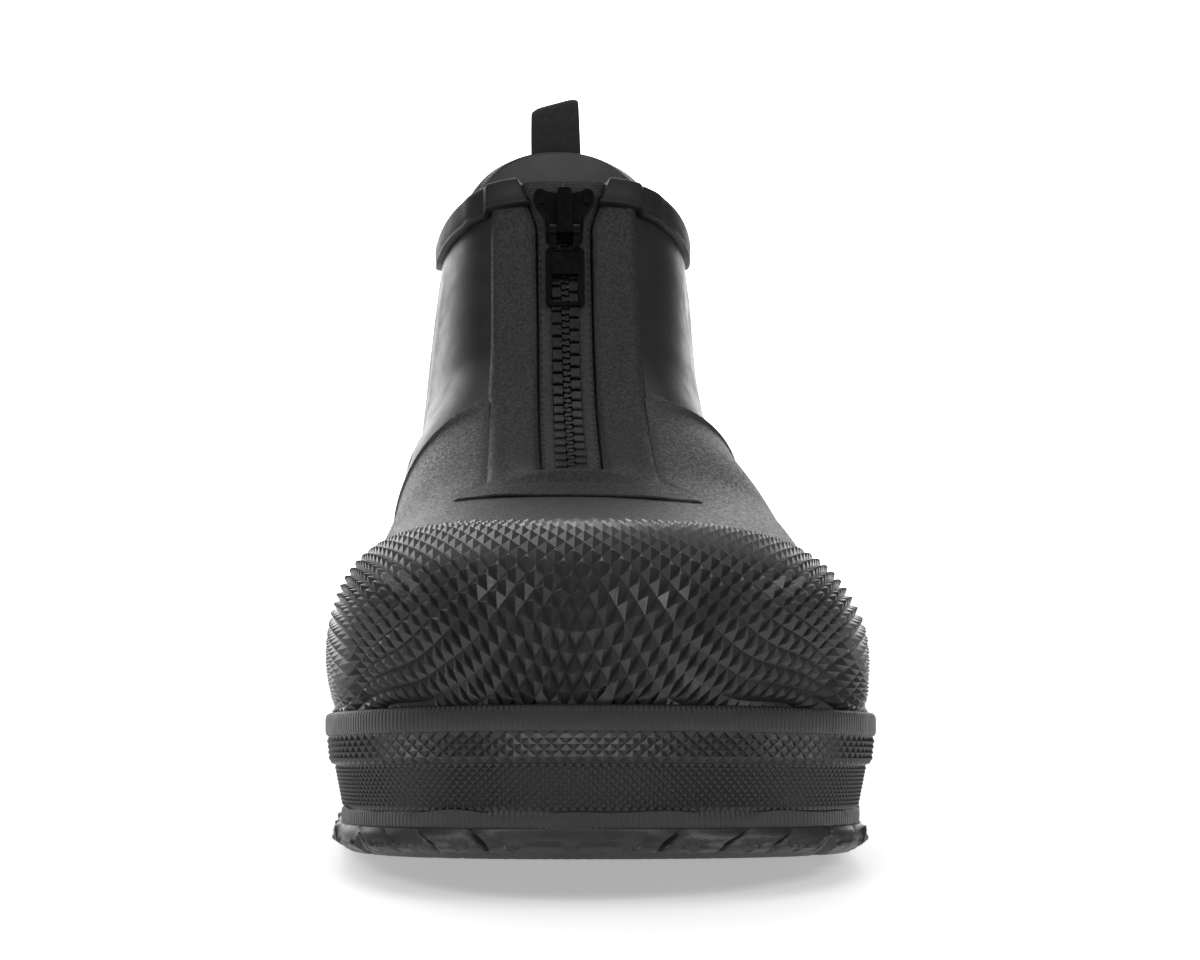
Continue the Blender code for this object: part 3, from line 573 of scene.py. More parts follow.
PLACKET_RUBBER = rubber(
    "placket_rubber", grey(9, 9.5), grey(13, 13.7), 0.54, 0.18, 1600.0, 0.34, grain_glints=True
)
VAMP_RUBBER = rubber("vamp_rubber", grey(12, 12.6), grey(17, 17.8), 0.54, 0.2, 1500.0, 0.55, grain_glints=True)
SHAFT_RUBBER = rubber("shaft_rubber", grey(10, 10.7), grey(13.5, 14.3), 0.36, 0.04, 1900.0, 0.42)
STUD_RUBBER = rubber("stud_rubber", grey(13, 13.7), grey(18, 18.8), 0.34, 0.04, 1400.0, 0.46)
FOXING_RUBBER = rubber("foxing_rubber", grey(5, 5.4), grey(8, 8.5), 0.36, 0.05, 1500.0, 0.45)
SOLE_RUBBER = rubber("sole_rubber", grey(9, 9.5), grey(19, 19.5), 0.42, 0.08)
BAND_RUBBER = rubber("band_rubber", grey(6, 6.4), grey(9, 9.5), 0.5, 0.06, 1500.0, 0.3)
RIBBED_RUBBER = rubber("ribbed_rubber", grey(6, 6.5), grey(9.5, 10.1), 0.44, 0.05, ribs=Ribs(1.05, 0.16))
RIBBED_SOLE = rubber("ribbed_sole", grey(11, 11.7), grey(20, 20.6), 0.5, 0.06, ribs=Ribs(0.95, 0.18))
LINING = lining_cloth()
WEBBING = webbing()
TAPE_CLOTH = tape_cloth()
INSOLE_CLOTH = insole_cloth()
TOOTH_PLASTIC = hard_plastic("tooth_plastic", grey(4, 4.4), 0.3, 0.34)
SLIDER_PLASTIC = hard_plastic("slider_plastic", grey(2, 2.2), 0.25, 0.13)

# The upper: rows close together, more of them at the vamp's step
VAMP_STEP = 1.2
STEP_AT = ROW_OF["vamp_step"]
SIDE_COLUMNS = 92
ROWS = np.concatenate([np.linspace(0, LAST, 205), np.linspace(STEP_AT - 0.16, STEP_AT + 0.1, 22)])
ROWS = np.unique(np.append(np.round(ROWS, 4), float(ROW_OF["heel"])))
HEEL_ROW = int(np.searchsorted(ROWS, ROW_OF["heel"]))

# Soft folds of the shaft, each a trough or ridge running up the wall: share of the way round the side
FOLD_FADE = 0.9
Fold = namedtuple("Fold", "side low high share slant width depth")
FOLDS = (
    Fold(-1, 8.2, 12.2, 0.285, 0.006, 0.016, 0.45),
    Fold(-1, 8.1, 12.0, 0.325, 0.008, 0.016, -0.6),
    Fold(-1, 8.2, 12.1, 0.365, 0.01, 0.018, 0.5),
    Fold(-1, 8.0, 11.6, 0.41, 0.012, 0.02, -0.6),
    Fold(-1, 8.2, 11.4, 0.46, 0.012, 0.022, 0.4),
    Fold(1, 8.2, 12.0, 0.31, 0.006, 0.02, -0.5),
    Fold(1, 8.3, 12.0, 0.36, 0.008, 0.02, 0.4),
    Fold(1, 8.1, 11.4, 0.42, 0.01, 0.025, -0.5),
)


def upper_columns(u):
    """Signed distances of the upper's columns: close to the slit, then even steps to the base."""
    slit = slit_half(u)
    made = []
    for side in (-1, 1):
        length = arch_length(u, side)
        t = np.linspace(0, 1, SIDE_COLUMNS)
        made.append(np.concatenate([[slit / 2], slit + (length - slit) * t]))
    return np.concatenate([-made[0][::-1], [0.0], made[1]])


def surface_rows(rows, columns):
    return np.array([strip(u, columns(u)) for u in rows])


def fold_height(u, side, share):
    made = np.zeros(np.broadcast(u, share).shape)
    for fold in FOLDS:
        window = ramp(u, fold.low, fold.low + FOLD_FADE) * (1 - ramp(u, fold.high - FOLD_FADE, fold.high))
        place = fold.share + fold.slant * (u - (fold.low + fold.high) / 2)
        made += np.where(side == fold.side, fold.depth * window * bump_at(share, place, fold.width), 0)
    return made


DISTANCE = np.array([upper_columns(u) for u in ROWS])
# The step's line runs lower round the inner side: by how many rows, over which rows and which distances
STEP_DROP = 0.6
STEP_DROP_ROWS = (STEP_AT - 1.6, STEP_AT, STEP_AT + 0.98)
STEP_DROP_FROM, STEP_DROP_TO = 14.0, 74.0


def with_step_drop(surface):
    """The surface with the rows about the vamp's step drawn down round the inner side."""
    drawn = surface.copy()
    near = np.interp(ROWS, STEP_DROP_ROWS, (0, 1, 0))
    away = ramp(-DISTANCE[int(np.searchsorted(ROWS, STEP_AT))], STEP_DROP_FROM, STEP_DROP_TO)
    for j in np.flatnonzero(away > 0):
        drawn[:, j] = read_line(ROWS - STEP_DROP * away[j] * near, ROWS, surface[:, j])
    return drawn


SURFACE = with_step_drop(surface_rows(ROWS, upper_columns))
NORMALS = normals_of(SURFACE, HEEL_ROW)
U_GRID = np.repeat(ROWS[:, None], SURFACE.shape[1], axis=1)
SIDE_GRID = np.where(DISTANCE < 0, -1, 1)
LENGTHS = np.array([[arch_length(u, -1), arch_length(u, 1)] for u in ROWS])
SHARE_GRID = np.abs(DISTANCE) / np.where(DISTANCE < 0, LENGTHS[:, :1], LENGTHS[:, 1:])


# The upper's relief: a rim along the step, folds beside the placket, a hollow under the zip, a slow wave
STEP_RIM, STEP_RIM_WIDE = 0.75, 0.05
STEP_EDGE = (STEP_AT - 0.012, STEP_AT + 0.02)
FOLDS_FROM = (24, 30)
Relief = namedtuple("Relief", "height u long wide")
HOLLOW = Relief(-2.2, 5.84, 0.16, 9.0)
SLOW_WAVE, SLOW_START = 0.12, 1.3
SLOW_ALONG, SLOW_UP, SLOW_ACROSS = 0.11, 0.13, 0.06


def relief(shape, u, distance):
    return shape.height * bump_at(u, shape.u, shape.long) * bump_at(distance, 0, shape.wide)


def upper_lift():
    """How far the upper's outer face stands off its plain form."""
    away, edge = np.abs(DISTANCE), placket_half(U_GRID)
    layer = VAMP_STEP * ramp(U_GRID, ROW_OF["cap_edge"], STEP_AT - 0.5)
    rim = STEP_RIM * bump_at(U_GRID, STEP_AT - STEP_RIM_WIDE, STEP_RIM_WIDE)
    lift = (layer + rim) * (1 - ramp(U_GRID, *STEP_EDGE)) * ramp(away, edge - 2.5, edge + 1.5)
    lift += fold_height(U_GRID, SIDE_GRID, SHARE_GRID) * ramp(away, *FOLDS_FROM)
    lift += relief(HOLLOW, U_GRID, DISTANCE)
    x, s, z = np.moveaxis(SURFACE, -1, 0)
    slow = SLOW_WAVE * np.sin(s * SLOW_ALONG + SLOW_START) * np.sin(z * SLOW_UP + x * SLOW_ACROSS)
    return lift + slow * ramp(U_GRID, ROW_OF["cap_edge"], ROW_OF["zip_foot"])


LIFT = upper_lift()


def foot_loop(surface):
    """The foxing line: heel tip, inner side, toe, outer side, from a grid of the upper."""
    inner = surface[HEEL_ROW:0:-1, 0]
    outer = surface[1:HEEL_ROW, -1]
    return np.vstack([inner, surface[0], outer])


def even_loop(points, count):
    """Even places round a closed line, and its length."""
    closed = np.vstack([points, points[:1]])
    run = run_along(closed)
    return read_line(np.linspace(0, run[-1], count + 1)[:-1], run, closed), run[-1]


OUT_SMOOTHINGS = 6


def loop_out(loop):
    """Level outward directions round a closed line, smoothed."""
    ahead = np.roll(loop, -1, axis=0) - np.roll(loop, 1, axis=0)
    normal = np.column_stack([ahead[:, 1], -ahead[:, 0], np.zeros(len(loop))])
    for _ in range(OUT_SMOOTHINGS):
        normal = (np.roll(normal, 1, axis=0) + 2 * normal + np.roll(normal, -1, axis=0)) / 4
    return normal / np.linalg.norm(normal, axis=1, keepdims=True)


FOOT = foot_loop(SURFACE)


def ring_at(loop, out, offset, height):
    """A loop moved outward and set at a height above the sole's top; both may differ round the loop."""
    moved = loop + out * np.broadcast_to(np.asarray(offset, float), (len(loop),))[:, None]
    moved[:, 2] = sole_top(loop[:, 1]) + height
    return moved


def closed_rows(rings):
    rings = np.array(rings)
    return np.concatenate([rings, rings[:, :1]], axis=1)


def border(first, last):
    """The closed line up one edge of a grid and down the other."""
    return np.vstack([first[::-1], last[1:-1]])


def skirt_offset(height):
    return SKIRT_TUCK * (height / FOXING_HEIGHT - 1)


def make_upper():
    piece = Piece()
    middle = SIDE_COLUMNS + 1
    keep = np.ones((len(ROWS) - 1, SURFACE.shape[1] - 1), bool)
    keep[np.ix_(ROWS[:-1] >= ROW_OF["zip_foot"], np.arange(middle - 2, middle + 2))] = False
    points = SURFACE + NORMALS * LIFT[..., None]
    on_shaft = (ROWS[:-1] >= STEP_AT - 0.005)[:, None] & keep
    piece.grid(points, keep & ~on_shaft, short=True, mark=0)
    piece.grid(points, on_shaft, short=True, mark=1)
    out = loop_out(FOOT)
    skirt = [ring_at(FOOT, out, skirt_offset(height), height) for height in (FOXING_HEIGHT / 2, GAP)]
    piece.grid(closed_rows([foot_loop(points)] + skirt))
    finishes = [VAMP_RUBBER, SHAFT_RUBBER, LINING, LINING]
    obj = piece.make("upper_boot", finishes, ("upper",), "black_rubber", outward=True, sharp=40)
    thicken(obj, WALL, lining=2)


# The toe cap's studs: pyramids on a net of two families of lines that cross in tall diamonds down the
# front; on each side one family turns level along the wall and the other stands up it
ROW_PITCH = 7.3
NetPlace = namedtuple("NetPlace", "x lines weight")
NET = (
    NetPlace(-1.3, 42.0, 0.45),
    NetPlace(-0.8, 42.0, 0.62),
    NetPlace(-0.6, 42.0, 1.0),
    NetPlace(-0.45, 35.0, 1.36),
    NetPlace(-0.28, 30.0, 1.28),
    NetPlace(-0.12, 32.0, 1.06),
    NetPlace(0.0, 34.0, 1.0),
    NetPlace(0.12, 38.0, 1.13),
    NetPlace(0.28, 43.0, 1.66),
    NetPlace(0.45, 40.0, 2.4),
    NetPlace(0.65, 28.0, 3.0),
    NetPlace(0.8, 12.0, 3.3),
    NetPlace(1.3, 5.0, 3.4),
)
NET_REACH = 1.3
NET_FINE = np.linspace(-NET_REACH, NET_REACH, 2601)
NET_ROWS, NET_COLUMNS = 121, 241
CROSS_HALVINGS = 34
CAP_EDGE = float(ROW_OF["cap_edge"])
CAP_OVER = 1.12
CAP_HIDDEN = 6.0
CAP_FIRST_ROW, CAP_REACH_BACK = 0.05, 1.5
STUD_EDGE = 0.2
STUD_LOW = 1.3
STUD_TALL = 1.3
STUD_EARLY = 0.45
STUD_GROW = 22.0
STUD_SPREAD = 3.0


class StudNet:
    """Places on the toe by the numbers of the two net lines that cross there."""

    def __init__(self):
        x = [place.x for place in NET]
        lines = smooth(NET_FINE, x, [place.lines for place in NET])
        total = np.concatenate([[0], np.cumsum((lines[1:] + lines[:-1]) / 2 * np.diff(NET_FINE))])
        self.total = total - np.interp(0.0, NET_FINE, total)
        self.weight = np.maximum(smooth(NET_FINE, x, [place.weight for place in NET]), 0.0)
        self.rows = np.linspace(0.0, CAP_EDGE, NET_ROWS)
        self.t = np.linspace(-1, 1, NET_COLUMNS)

        def columns(u):
            return np.where(self.t < 0, arch_length(u, -1), arch_length(u, 1)) * self.t

        self.grid = surface_rows(self.rows, columns)
        self.normal = normals_of(self.grid)
        run = run_along(self.grid[:, NET_COLUMNS // 2])
        self.run = (run[-1] - run)[::-1]
        self.deepest = self.run[-1] / ROW_PITCH
        self.side = [arch_length(CAP_EDGE / 2, -1), arch_length(CAP_EDGE / 2, 1)]

    def lines_at(self, t, r):
        """Numbers of the two lines that pass a place, one of each family."""
        first = self.read(self.total, t) - r * self.read(self.weight, t)
        return first, r * self.read(self.weight, -t) - self.read(self.total, -t)

    @staticmethod
    def read(values, at):
        return np.interp(at, NET_FINE, values)

    def cross(self, first, second):
        """Share of the arch and row number where line `first` of one family meets `second` of the other."""
        low, high = np.full(first.shape, -NET_REACH), np.full(first.shape, NET_REACH)
        for _ in range(CROSS_HALVINGS):
            t = (low + high) / 2
            left = self.read(self.weight, -t) * (self.read(self.total, t) - first)
            right = self.read(self.weight, t) * (second + self.read(self.total, -t))
            over = left > right
            high = np.where(over, t, high)
            low = np.where(over, low, t)
        t = (low + high) / 2
        by_second = (second + self.read(self.total, -t)) / np.maximum(self.read(self.weight, -t), 1e-3)
        by_first = (self.read(self.total, t) - first) / np.maximum(self.read(self.weight, t), 1e-3)
        return t, np.where(t < 0, by_second, by_first)

    def place(self, t, r):
        """Surface point, normal, distance from the cap's back edge and depth below the foxing line."""
        down = np.clip(r, 0, self.deepest) * ROW_PITCH
        u = np.interp(down, self.run, self.rows[::-1])
        at_row = u / CAP_EDGE * (len(self.rows) - 1)
        at_col = (np.clip(t, -1, 1) + 1) / 2 * (len(self.t) - 1)
        i = np.clip(at_row.astype(int), 0, len(self.rows) - 2)
        j = np.clip(at_col.astype(int), 0, len(self.t) - 2)
        f, g = (at_row - i)[:, None], (at_col - j)[:, None]

        def blend(a):
            near = (1 - g) * a[i, j] + g * a[i, j + 1]
            return (1 - f) * near + f * ((1 - g) * a[i + 1, j] + g * a[i + 1, j + 1])

        side = np.where(t < 0, self.side[0], self.side[1])
        deep = np.maximum(r - self.deepest, 0) * ROW_PITCH + np.maximum(np.abs(t) - 1, 0) * side
        point, normal = blend(self.grid), blend(self.normal)
        point[:, 2] -= deep
        return point, normal / np.linalg.norm(normal, axis=1)[:, None], down, deep


def stud_foot(down):
    """Height of the net's crossings off the toe, by the distance down from the cap's back edge."""
    return STUD_EDGE + (STUD_LOW - STUD_EDGE) * ramp(down, 0, STUD_GROW)


def make_toe_cap():
    net = StudNet()
    t, r = np.meshgrid(np.linspace(-1.2, 1.2, 9), np.linspace(-1.0, net.deepest + 1.5, 9))
    lines = net.lines_at(t.ravel(), r.ravel())
    a, b = (np.arange(math.floor(line.min()), math.ceil(line.max()) + 1) for line in lines)

    def lay(shift):
        first, second = np.meshgrid(a + shift, b + shift, indexing="ij")
        t, r = net.cross(first.ravel(), second.ravel())
        return t, r, *net.place(t, r)

    t, r, node, normal, down, deep = lay(0.0)
    _, top_r, top, top_normal, top_down, _ = lay(0.5)
    node = node + normal * stud_foot(down)[:, None]
    number = np.arange(len(a) * len(b)).reshape(len(a), len(b))
    faces, apexes = [], []
    for i in range(len(a) - 1):
        for j in range(len(b) - 1):
            around = [number[i, j], number[i + 1, j], number[i + 1, j + 1], number[i, j + 1]]
            past = np.abs(t[around]).max() > CAP_OVER or deep[around].max() > CAP_HIDDEN
            if past or r[around].max() < CAP_FIRST_ROW or r[around].min() < -CAP_REACH_BACK:
                continue
            centre = number[i, j]
            corners = node[around]
            spread = [np.linalg.norm(corners[k + 2] - corners[k]) for k in (0, 1)]
            tall = STUD_TALL * min(1.0, min(spread) / STUD_SPREAD) * (top_r[centre] > 0)
            tall *= STUD_EARLY + (1 - STUD_EARLY) * ramp(top_down[centre], 0, STUD_GROW)
            apex = len(node) + len(apexes)
            apexes.append(top[centre] + top_normal[centre] * (stud_foot(top_down[centre]) + tall))
            faces += [[around[m], around[(m + 1) % 4], apex] for m in range(4)]
    used = sorted({q for face in faces for q in face})
    renumber = {q: k for k, q in enumerate(used)}
    piece = Piece()
    piece.points.append(np.vstack([node, apexes])[used])
    piece.uvs.append(np.zeros((len(used), 2)))
    piece.faces = [[renumber[q] for q in face] for face in faces]
    piece.marks = [0] * len(faces)
    obj = piece.make("toe_cap_studs", [STUD_RUBBER], ("toe_cap",), "black_rubber", flat=True, outward=True)
    round_edges(obj, 0.12, 1, 10.0)


# The zip placket: a raised panel with a rounded bead along its edge and a lip across the vamp
LIP_ROW, FOOT_ROW = float(ROW_OF["vamp_lip"]), float(ROW_OF["zip_foot"])
PLACKET_ROWS = np.unique(np.append(np.linspace(LIP_ROW, FOOT_ROW, 33), np.linspace(FOOT_ROW, LAST, 100)))
PLACKET_SHARES = np.concatenate(
    [[0, 0.02, 0.05, 0.09], np.linspace(0.14, 0.7, 10), [0.78, 0.84, 0.89, 0.93, 0.96, 0.985, 1.0]]
)
LIP_SKEW = 0.2
LIP_THIN = 0.5
PLACKET_LIFT = 1.2
PLACKET_THICK = 0.8
BEAD, BEAD_IN, BEAD_WIDE = 0.5, 2.8, 1.7
SLIT_ROLL = 0.9
FOOT_FOLD = 2.0
# Rows and distances over which the parts of the placket's relief come in and go out
THIN_ROWS, THIN_ACROSS = (5.5, 6.6), (16, 26)
BEAD_ROWS, ROLL_ROWS = (5.8, 6.8), (5.95, 6.1)
FOLD_IN, FOLD_OUT, FOLD_ACROSS = (5.78, 5.93), (6.05, 6.6), (4.5, 18)
LIP_SUNK, LIP_END_RISE, LIP_ACROSS = 0.45, 0.3, (8, 24)
FOOT_RELIEFS = (Relief(-0.95, 5.71, 0.08, 9.0), Relief(0.5, 5.5, 0.12, 15.0))


def placket_columns(u):
    slit = slit_half(u)
    side = slit + (placket_half(u) - slit) * PLACKET_SHARES
    return np.concatenate([-side[::-1], [-slit / 2, 0, slit / 2], side])


def skewed(rows, columns):
    """Grid of the placket, whose lip runs lower on the outer side."""
    made = []
    for u in rows:
        distance = columns(u)
        points = strip(u, distance)
        drop = LIP_SKEW * (1 - ramp(u, LIP_ROW, FOOT_ROW))
        if drop > 0:
            for k in np.flatnonzero(distance > 0):
                low = u - drop * float(ramp(distance[k], 0, PLACKET_LIP_HALF))
                points[k] = strip(round(low * 200) / 200, distance[k : k + 1])[0]
        made.append(points)
    return np.array(made)


def placket_lift(u, distance):
    """How far the placket's face stands off the upper."""
    edge, away = placket_half(u), np.abs(distance)
    thin = LIP_THIN * (1 - ramp(u, *THIN_ROWS)) * ramp(away, *THIN_ACROSS)
    lift = (PLACKET_LIFT - thin) * ramp(edge - away, -0.2, 1.6)
    lift += BEAD * bump_at(away, edge - BEAD_IN, BEAD_WIDE) * ramp(u, *BEAD_ROWS)
    lift -= SLIT_ROLL * (1 - ramp(away - slit_half(u), -0.2, 1.5)) * ramp(u, *ROLL_ROWS)
    lip = (1 - ramp(u, LIP_ROW, LIP_ROW + 0.2)) * (1 - ramp(away, edge - 3, edge))
    lift += lip * (LIP_END_RISE * ramp(away, *LIP_ACROSS) - LIP_SUNK)
    lift += FOOT_FOLD * ramp(u, *FOLD_IN) * (1 - ramp(u, *FOLD_OUT)) * (1 - ramp(away, *FOLD_ACROSS))
    return lift + sum(relief(shape, u, distance) for shape in FOOT_RELIEFS)


def make_placket():
    rows = PLACKET_ROWS
    distance = np.array([placket_columns(u) for u in rows])
    grid = skewed(rows, placket_columns)
    lift = placket_lift(np.repeat(rows[:, None], grid.shape[1], axis=1), distance)
    keep = np.ones((len(rows) - 1, grid.shape[1] - 1), bool)
    middle = grid.shape[1] // 2
    keep[np.ix_(rows[:-1] >= FOOT_ROW, np.arange(middle - 2, middle + 2))] = False
    piece = Piece()
    piece.grid(grid + normals_of(grid) * lift[..., None], keep)
    nodes = ("zip_placket",)
    obj = piece.make("placket_panel", [PLACKET_RUBBER], nodes, "black_rubber", outward=True, sharp=50)
    thicken(obj, PLACKET_THICK)


# The foxing: a ribbed lip, a band of diamonds and a finely knurled band
Band = namedtuple("Band", "foot top out_foot out_top rows pitch proud")
DIAMOND_BAND = Band(9.2, 14.9, 2.35, 2.95, 6, 1.3, 0.6)
KNURL_BAND = Band(0.05, 8.9, -0.2, 1.5, 12, 0.8, 0.36)
# Profiles as height above the sole's top and distance out from the foot's line
CORE_PROFILE = ((0.05, -0.3), (8.8, 1.4), (9.1, 2.2), (14.9, 2.85))
LIP_PROFILE = (
    (14.8, 2.8), (15.0, 3.4), (15.3, 3.6), (16.0, 3.72), (18.4, 3.72), (19.2, 3.55), (19.6, 3.1), (19.75, 2.3)
)
EDGE_STUDS = 0.35


def make_foxing():
    piece = Piece()
    loop, length = even_loop(FOOT, 900)
    out = loop_out(loop)
    run = np.linspace(0, length, len(loop) + 1)
    inside = tuple((height, skirt_offset(height) + GAP) for height in (FOXING_HEIGHT - GAP, GAP))
    back = LIP_PROFILE[-1:] + inside + CORE_PROFILE[:1]
    for profile, mark in ((CORE_PROFILE, 0), (LIP_PROFILE, 1), (back, 0)):
        rings = closed_rows([ring_at(loop, out, off, height) for height, off in profile])
        heights = np.array([height for height, _ in profile])
        piece.grid(rings, uv=np.stack(np.meshgrid(run, heights), axis=-1), mark=mark)
    piece.make("foxing_band", [FOXING_RUBBER, RIBBED_RUBBER], ("foxing",), "black_rubber", sharp=30)
    studs = Piece()
    for band in (DIAMOND_BAND, KNURL_BAND):
        count = 2 * int(length / band.pitch / 2)
        ring, _ = even_loop(FOOT, count)
        side = loop_out(ring)
        rings = []
        for i, t in enumerate(np.linspace(0, 1, band.rows)):
            proud = np.where((np.arange(count) + i) % 2 == 0, band.proud, 0.0)
            if i in (0, band.rows - 1):
                proud = proud * EDGE_STUDS
            out_here = band.out_foot + (band.out_top - band.out_foot) * t
            rings.append(ring_at(ring, side, out_here + proud, band.foot + (band.top - band.foot) * t))
        studs.grid(closed_rows(rings), studs=True)
    studs.make("foxing_knurl", [FOXING_RUBBER], (), "black_rubber", flat=True)


# The sole: a ribbed welt, and an underside whose blocks stand down to the floor
CUTS = (0, 0.17, 0.235, 0.46, 0.54, 0.765, 0.83, 1)
LUG_COLUMNS = (0, 2, 4, 6)
TOE_BAR_RUNGS = 3
LUG_DEPTH = 5.0
ARCH_FROM = 150.0
ARCH_FULL = 175.0
ARCH_TO = 208.0
ARCH_LIFT = 2.6
WELT_DEPTH = 3.0
WELT_OUT = 0.3
LUG_OUT = 0.5
PETAL = 10.4
PETAL_FROM = 15.0
PETAL_LEAN = 6.5
PETAL_RISE = 1.3
PETAL_CUT = 1.1
SCALLOP = 10.5
SCALLOP_HIGH, SCALLOP_OUT = 0.45, 0.3
KNURL, KNURL_END = 0.27, (0.36, 0.46)
WALL_BOW = 0.35
TOE_RIM, TOE_RIM_END = 3.2, 52.0
CAD_SIDE_STEPS = 9
SOLE_ROWS, SOLE_COLUMNS = 430, 132
END_CROWDING = 0.35
LUG_SIDE_SLOPE, LUG_END_SLOPE = 1.6, 2.6
LUG_CURVE, LUG_SHIFT, PAST_END = 6.0, 3.0, 50
EDGE_ROUND = 0.9
FINE_GRAIN, FINE_TURNS = 0.16, 3.1
WALL_LEVELS = 9
# The welt's rings as distance out past it and height against the sole's top
WELT_RINGS = ((0, -WELT_DEPTH), (0.1, -1.5), (0, -0.3), (-0.4, 0.0))
# The welt's unevenness as height, length and start of each wave
WELT_WAVES = ((0.35, 5.7, 0.0), (0.3, 3.3, 1.0))


def tread_body(s):
    arch = ramp(s, ARCH_FROM - 10, ARCH_FULL) * (1 - ramp(s, ARCH_TO - 8, ARCH_TO))
    return floor_line(s) + LUG_DEPTH + ARCH_LIFT * arch


def rung_places():
    """Run from the toe tip of the rungs that the sole's blocks lie between."""
    toe = []
    for side in (-1, 1):
        edge = np.linspace(PLACKET_LIP_HALF, arch_length(0.0, side), CAD_SIDE_STEPS + 1)
        tape = SLIT_HALF + TAPE_LAP
        toe.append(np.concatenate([[0, SLIT_HALF, tape, (tape + PLACKET_LIP_HALF) / 2], edge]))
    places = []
    for i in range(ROW_OF["heel"]):
        places.extend(i + np.arange(SECTIONS[i].steps) / SECTIONS[i].steps)
    places = np.sort(np.append(places, [STEP_AT + 0.05, float(ROW_OF["heel"])]))[1:]
    runs = []
    for side, start in zip((-1, 1), toe):
        base = np.array([half_arch(u, side)[0][-1] for u in np.append([0.0], places)])
        runs.append(np.concatenate([start, start[-1] + run_along(base)[1:]]))
    return (runs[0] + runs[1]) / 2


def dense_rungs(offset, count):
    """Pairs of inner and outer points of the foot's outline from toe to heel, with their run."""
    loop = FOOT + loop_out(FOOT) * offset
    tip = HEEL_ROW + SIDE_COLUMNS + 1
    total = len(loop)
    sides = [(tip + way * np.arange(total // 2 + 1)) % total for way in (-1, 1)]
    run = sum(run_along(FOOT[side]) for side in sides) / 2
    eased = run[-1] * (1 - np.cos(np.linspace(0, math.pi, count))) / 2
    at = eased * END_CROWDING + np.linspace(0, run[-1], count) * (1 - END_CROWDING)
    return *(read_line(at, run, loop[side]) for side in sides), at


def edge_rise(value, low, high, slope):
    """One inside the span, falling to nothing over slope outside it."""
    return np.clip(np.minimum(value - low, high - value) / slope + 1, 0, 1)


def tread_blocks(run, t, s, width):
    """How far down towards the floor each place of the underside stands, from 0 to 1."""
    rungs = rung_places()
    last = len(rungs) - 1
    middles = np.interp((rungs[:-1] + rungs[1:]) / 2, run[:, 0], s[:, s.shape[1] // 2])
    block = np.zeros(run.shape)
    for j in range(len(CUTS) - 1):
        low, high = CUTS[j] - (j == 0), CUTS[j + 1] + (j == len(CUTS) - 2)
        side = edge_rise(t * width, low * width, high * width, LUG_SIDE_SLOPE)
        there = [lug_there(i, j, middles[i]) for i in range(last)]
        for i in range(last):
            if not there[i] or (i > 0 and there[i - 1]):
                continue
            stop = next((k for k in range(i, last) if not there[k]), last)
            start = rungs[i] - PAST_END * (i == 0) - LUG_SHIFT
            end = rungs[stop] + PAST_END * (stop == last) - LUG_SHIFT
            curve = LUG_CURVE * np.abs(2 * t - 1) ** 2 * (i > 0)
            ahead = edge_rise(run - curve, start, end, LUG_END_SLOPE)
            block = np.maximum(block, np.minimum(ahead, side))
    return block * block * (3 - 2 * block)


def lug_there(i, j, s):
    if i < TOE_BAR_RUNGS:
        return True
    in_arch = ARCH_FROM - 16 < s < ARCH_TO
    is_gap = (i + j // 2) % 3 == 2 if j in (2, 4) else i % 3 == 0
    return j in LUG_COLUMNS and not is_gap and not in_arch


def tread_grid():
    """The underside with its blocks, from toe to heel and from inner to outer edge, and its run."""
    inner, outer, run = dense_rungs(LUG_OUT, SOLE_ROWS)
    t = 0.5 - 0.5 * np.cos(math.pi * np.linspace(0, 1, SOLE_COLUMNS))
    grid = between(inner, outer, t)
    x, s = grid[..., 0], grid[..., 1]
    runs, across = np.broadcast_arrays(run[:, None], t[None])
    width = np.linalg.norm(outer - inner, axis=1)[:, None]
    edge = np.minimum(across, 1 - across) * width
    rim = (1 - ramp(edge, TOE_RIM, TOE_RIM + 1.2)) * (1 - ramp(runs, TOE_RIM_END - 3, TOE_RIM_END))
    block = np.maximum(tread_blocks(runs, across, s, width), rim)
    body = tread_body(s)
    tip = np.minimum(run, run[-1] - run)[:, None]
    grid[..., 2] = body + (floor_line(s) - body) * block
    grid[..., 2] += EDGE_ROUND * (1 - ramp(np.minimum(edge, 1.5 * tip), 0, 1.6)) * block
    grid[..., 2] += np.maximum(FINE_GRAIN * np.sin(x * FINE_TURNS) * np.sin(s * FINE_TURNS) * block, 0)
    return grid, run


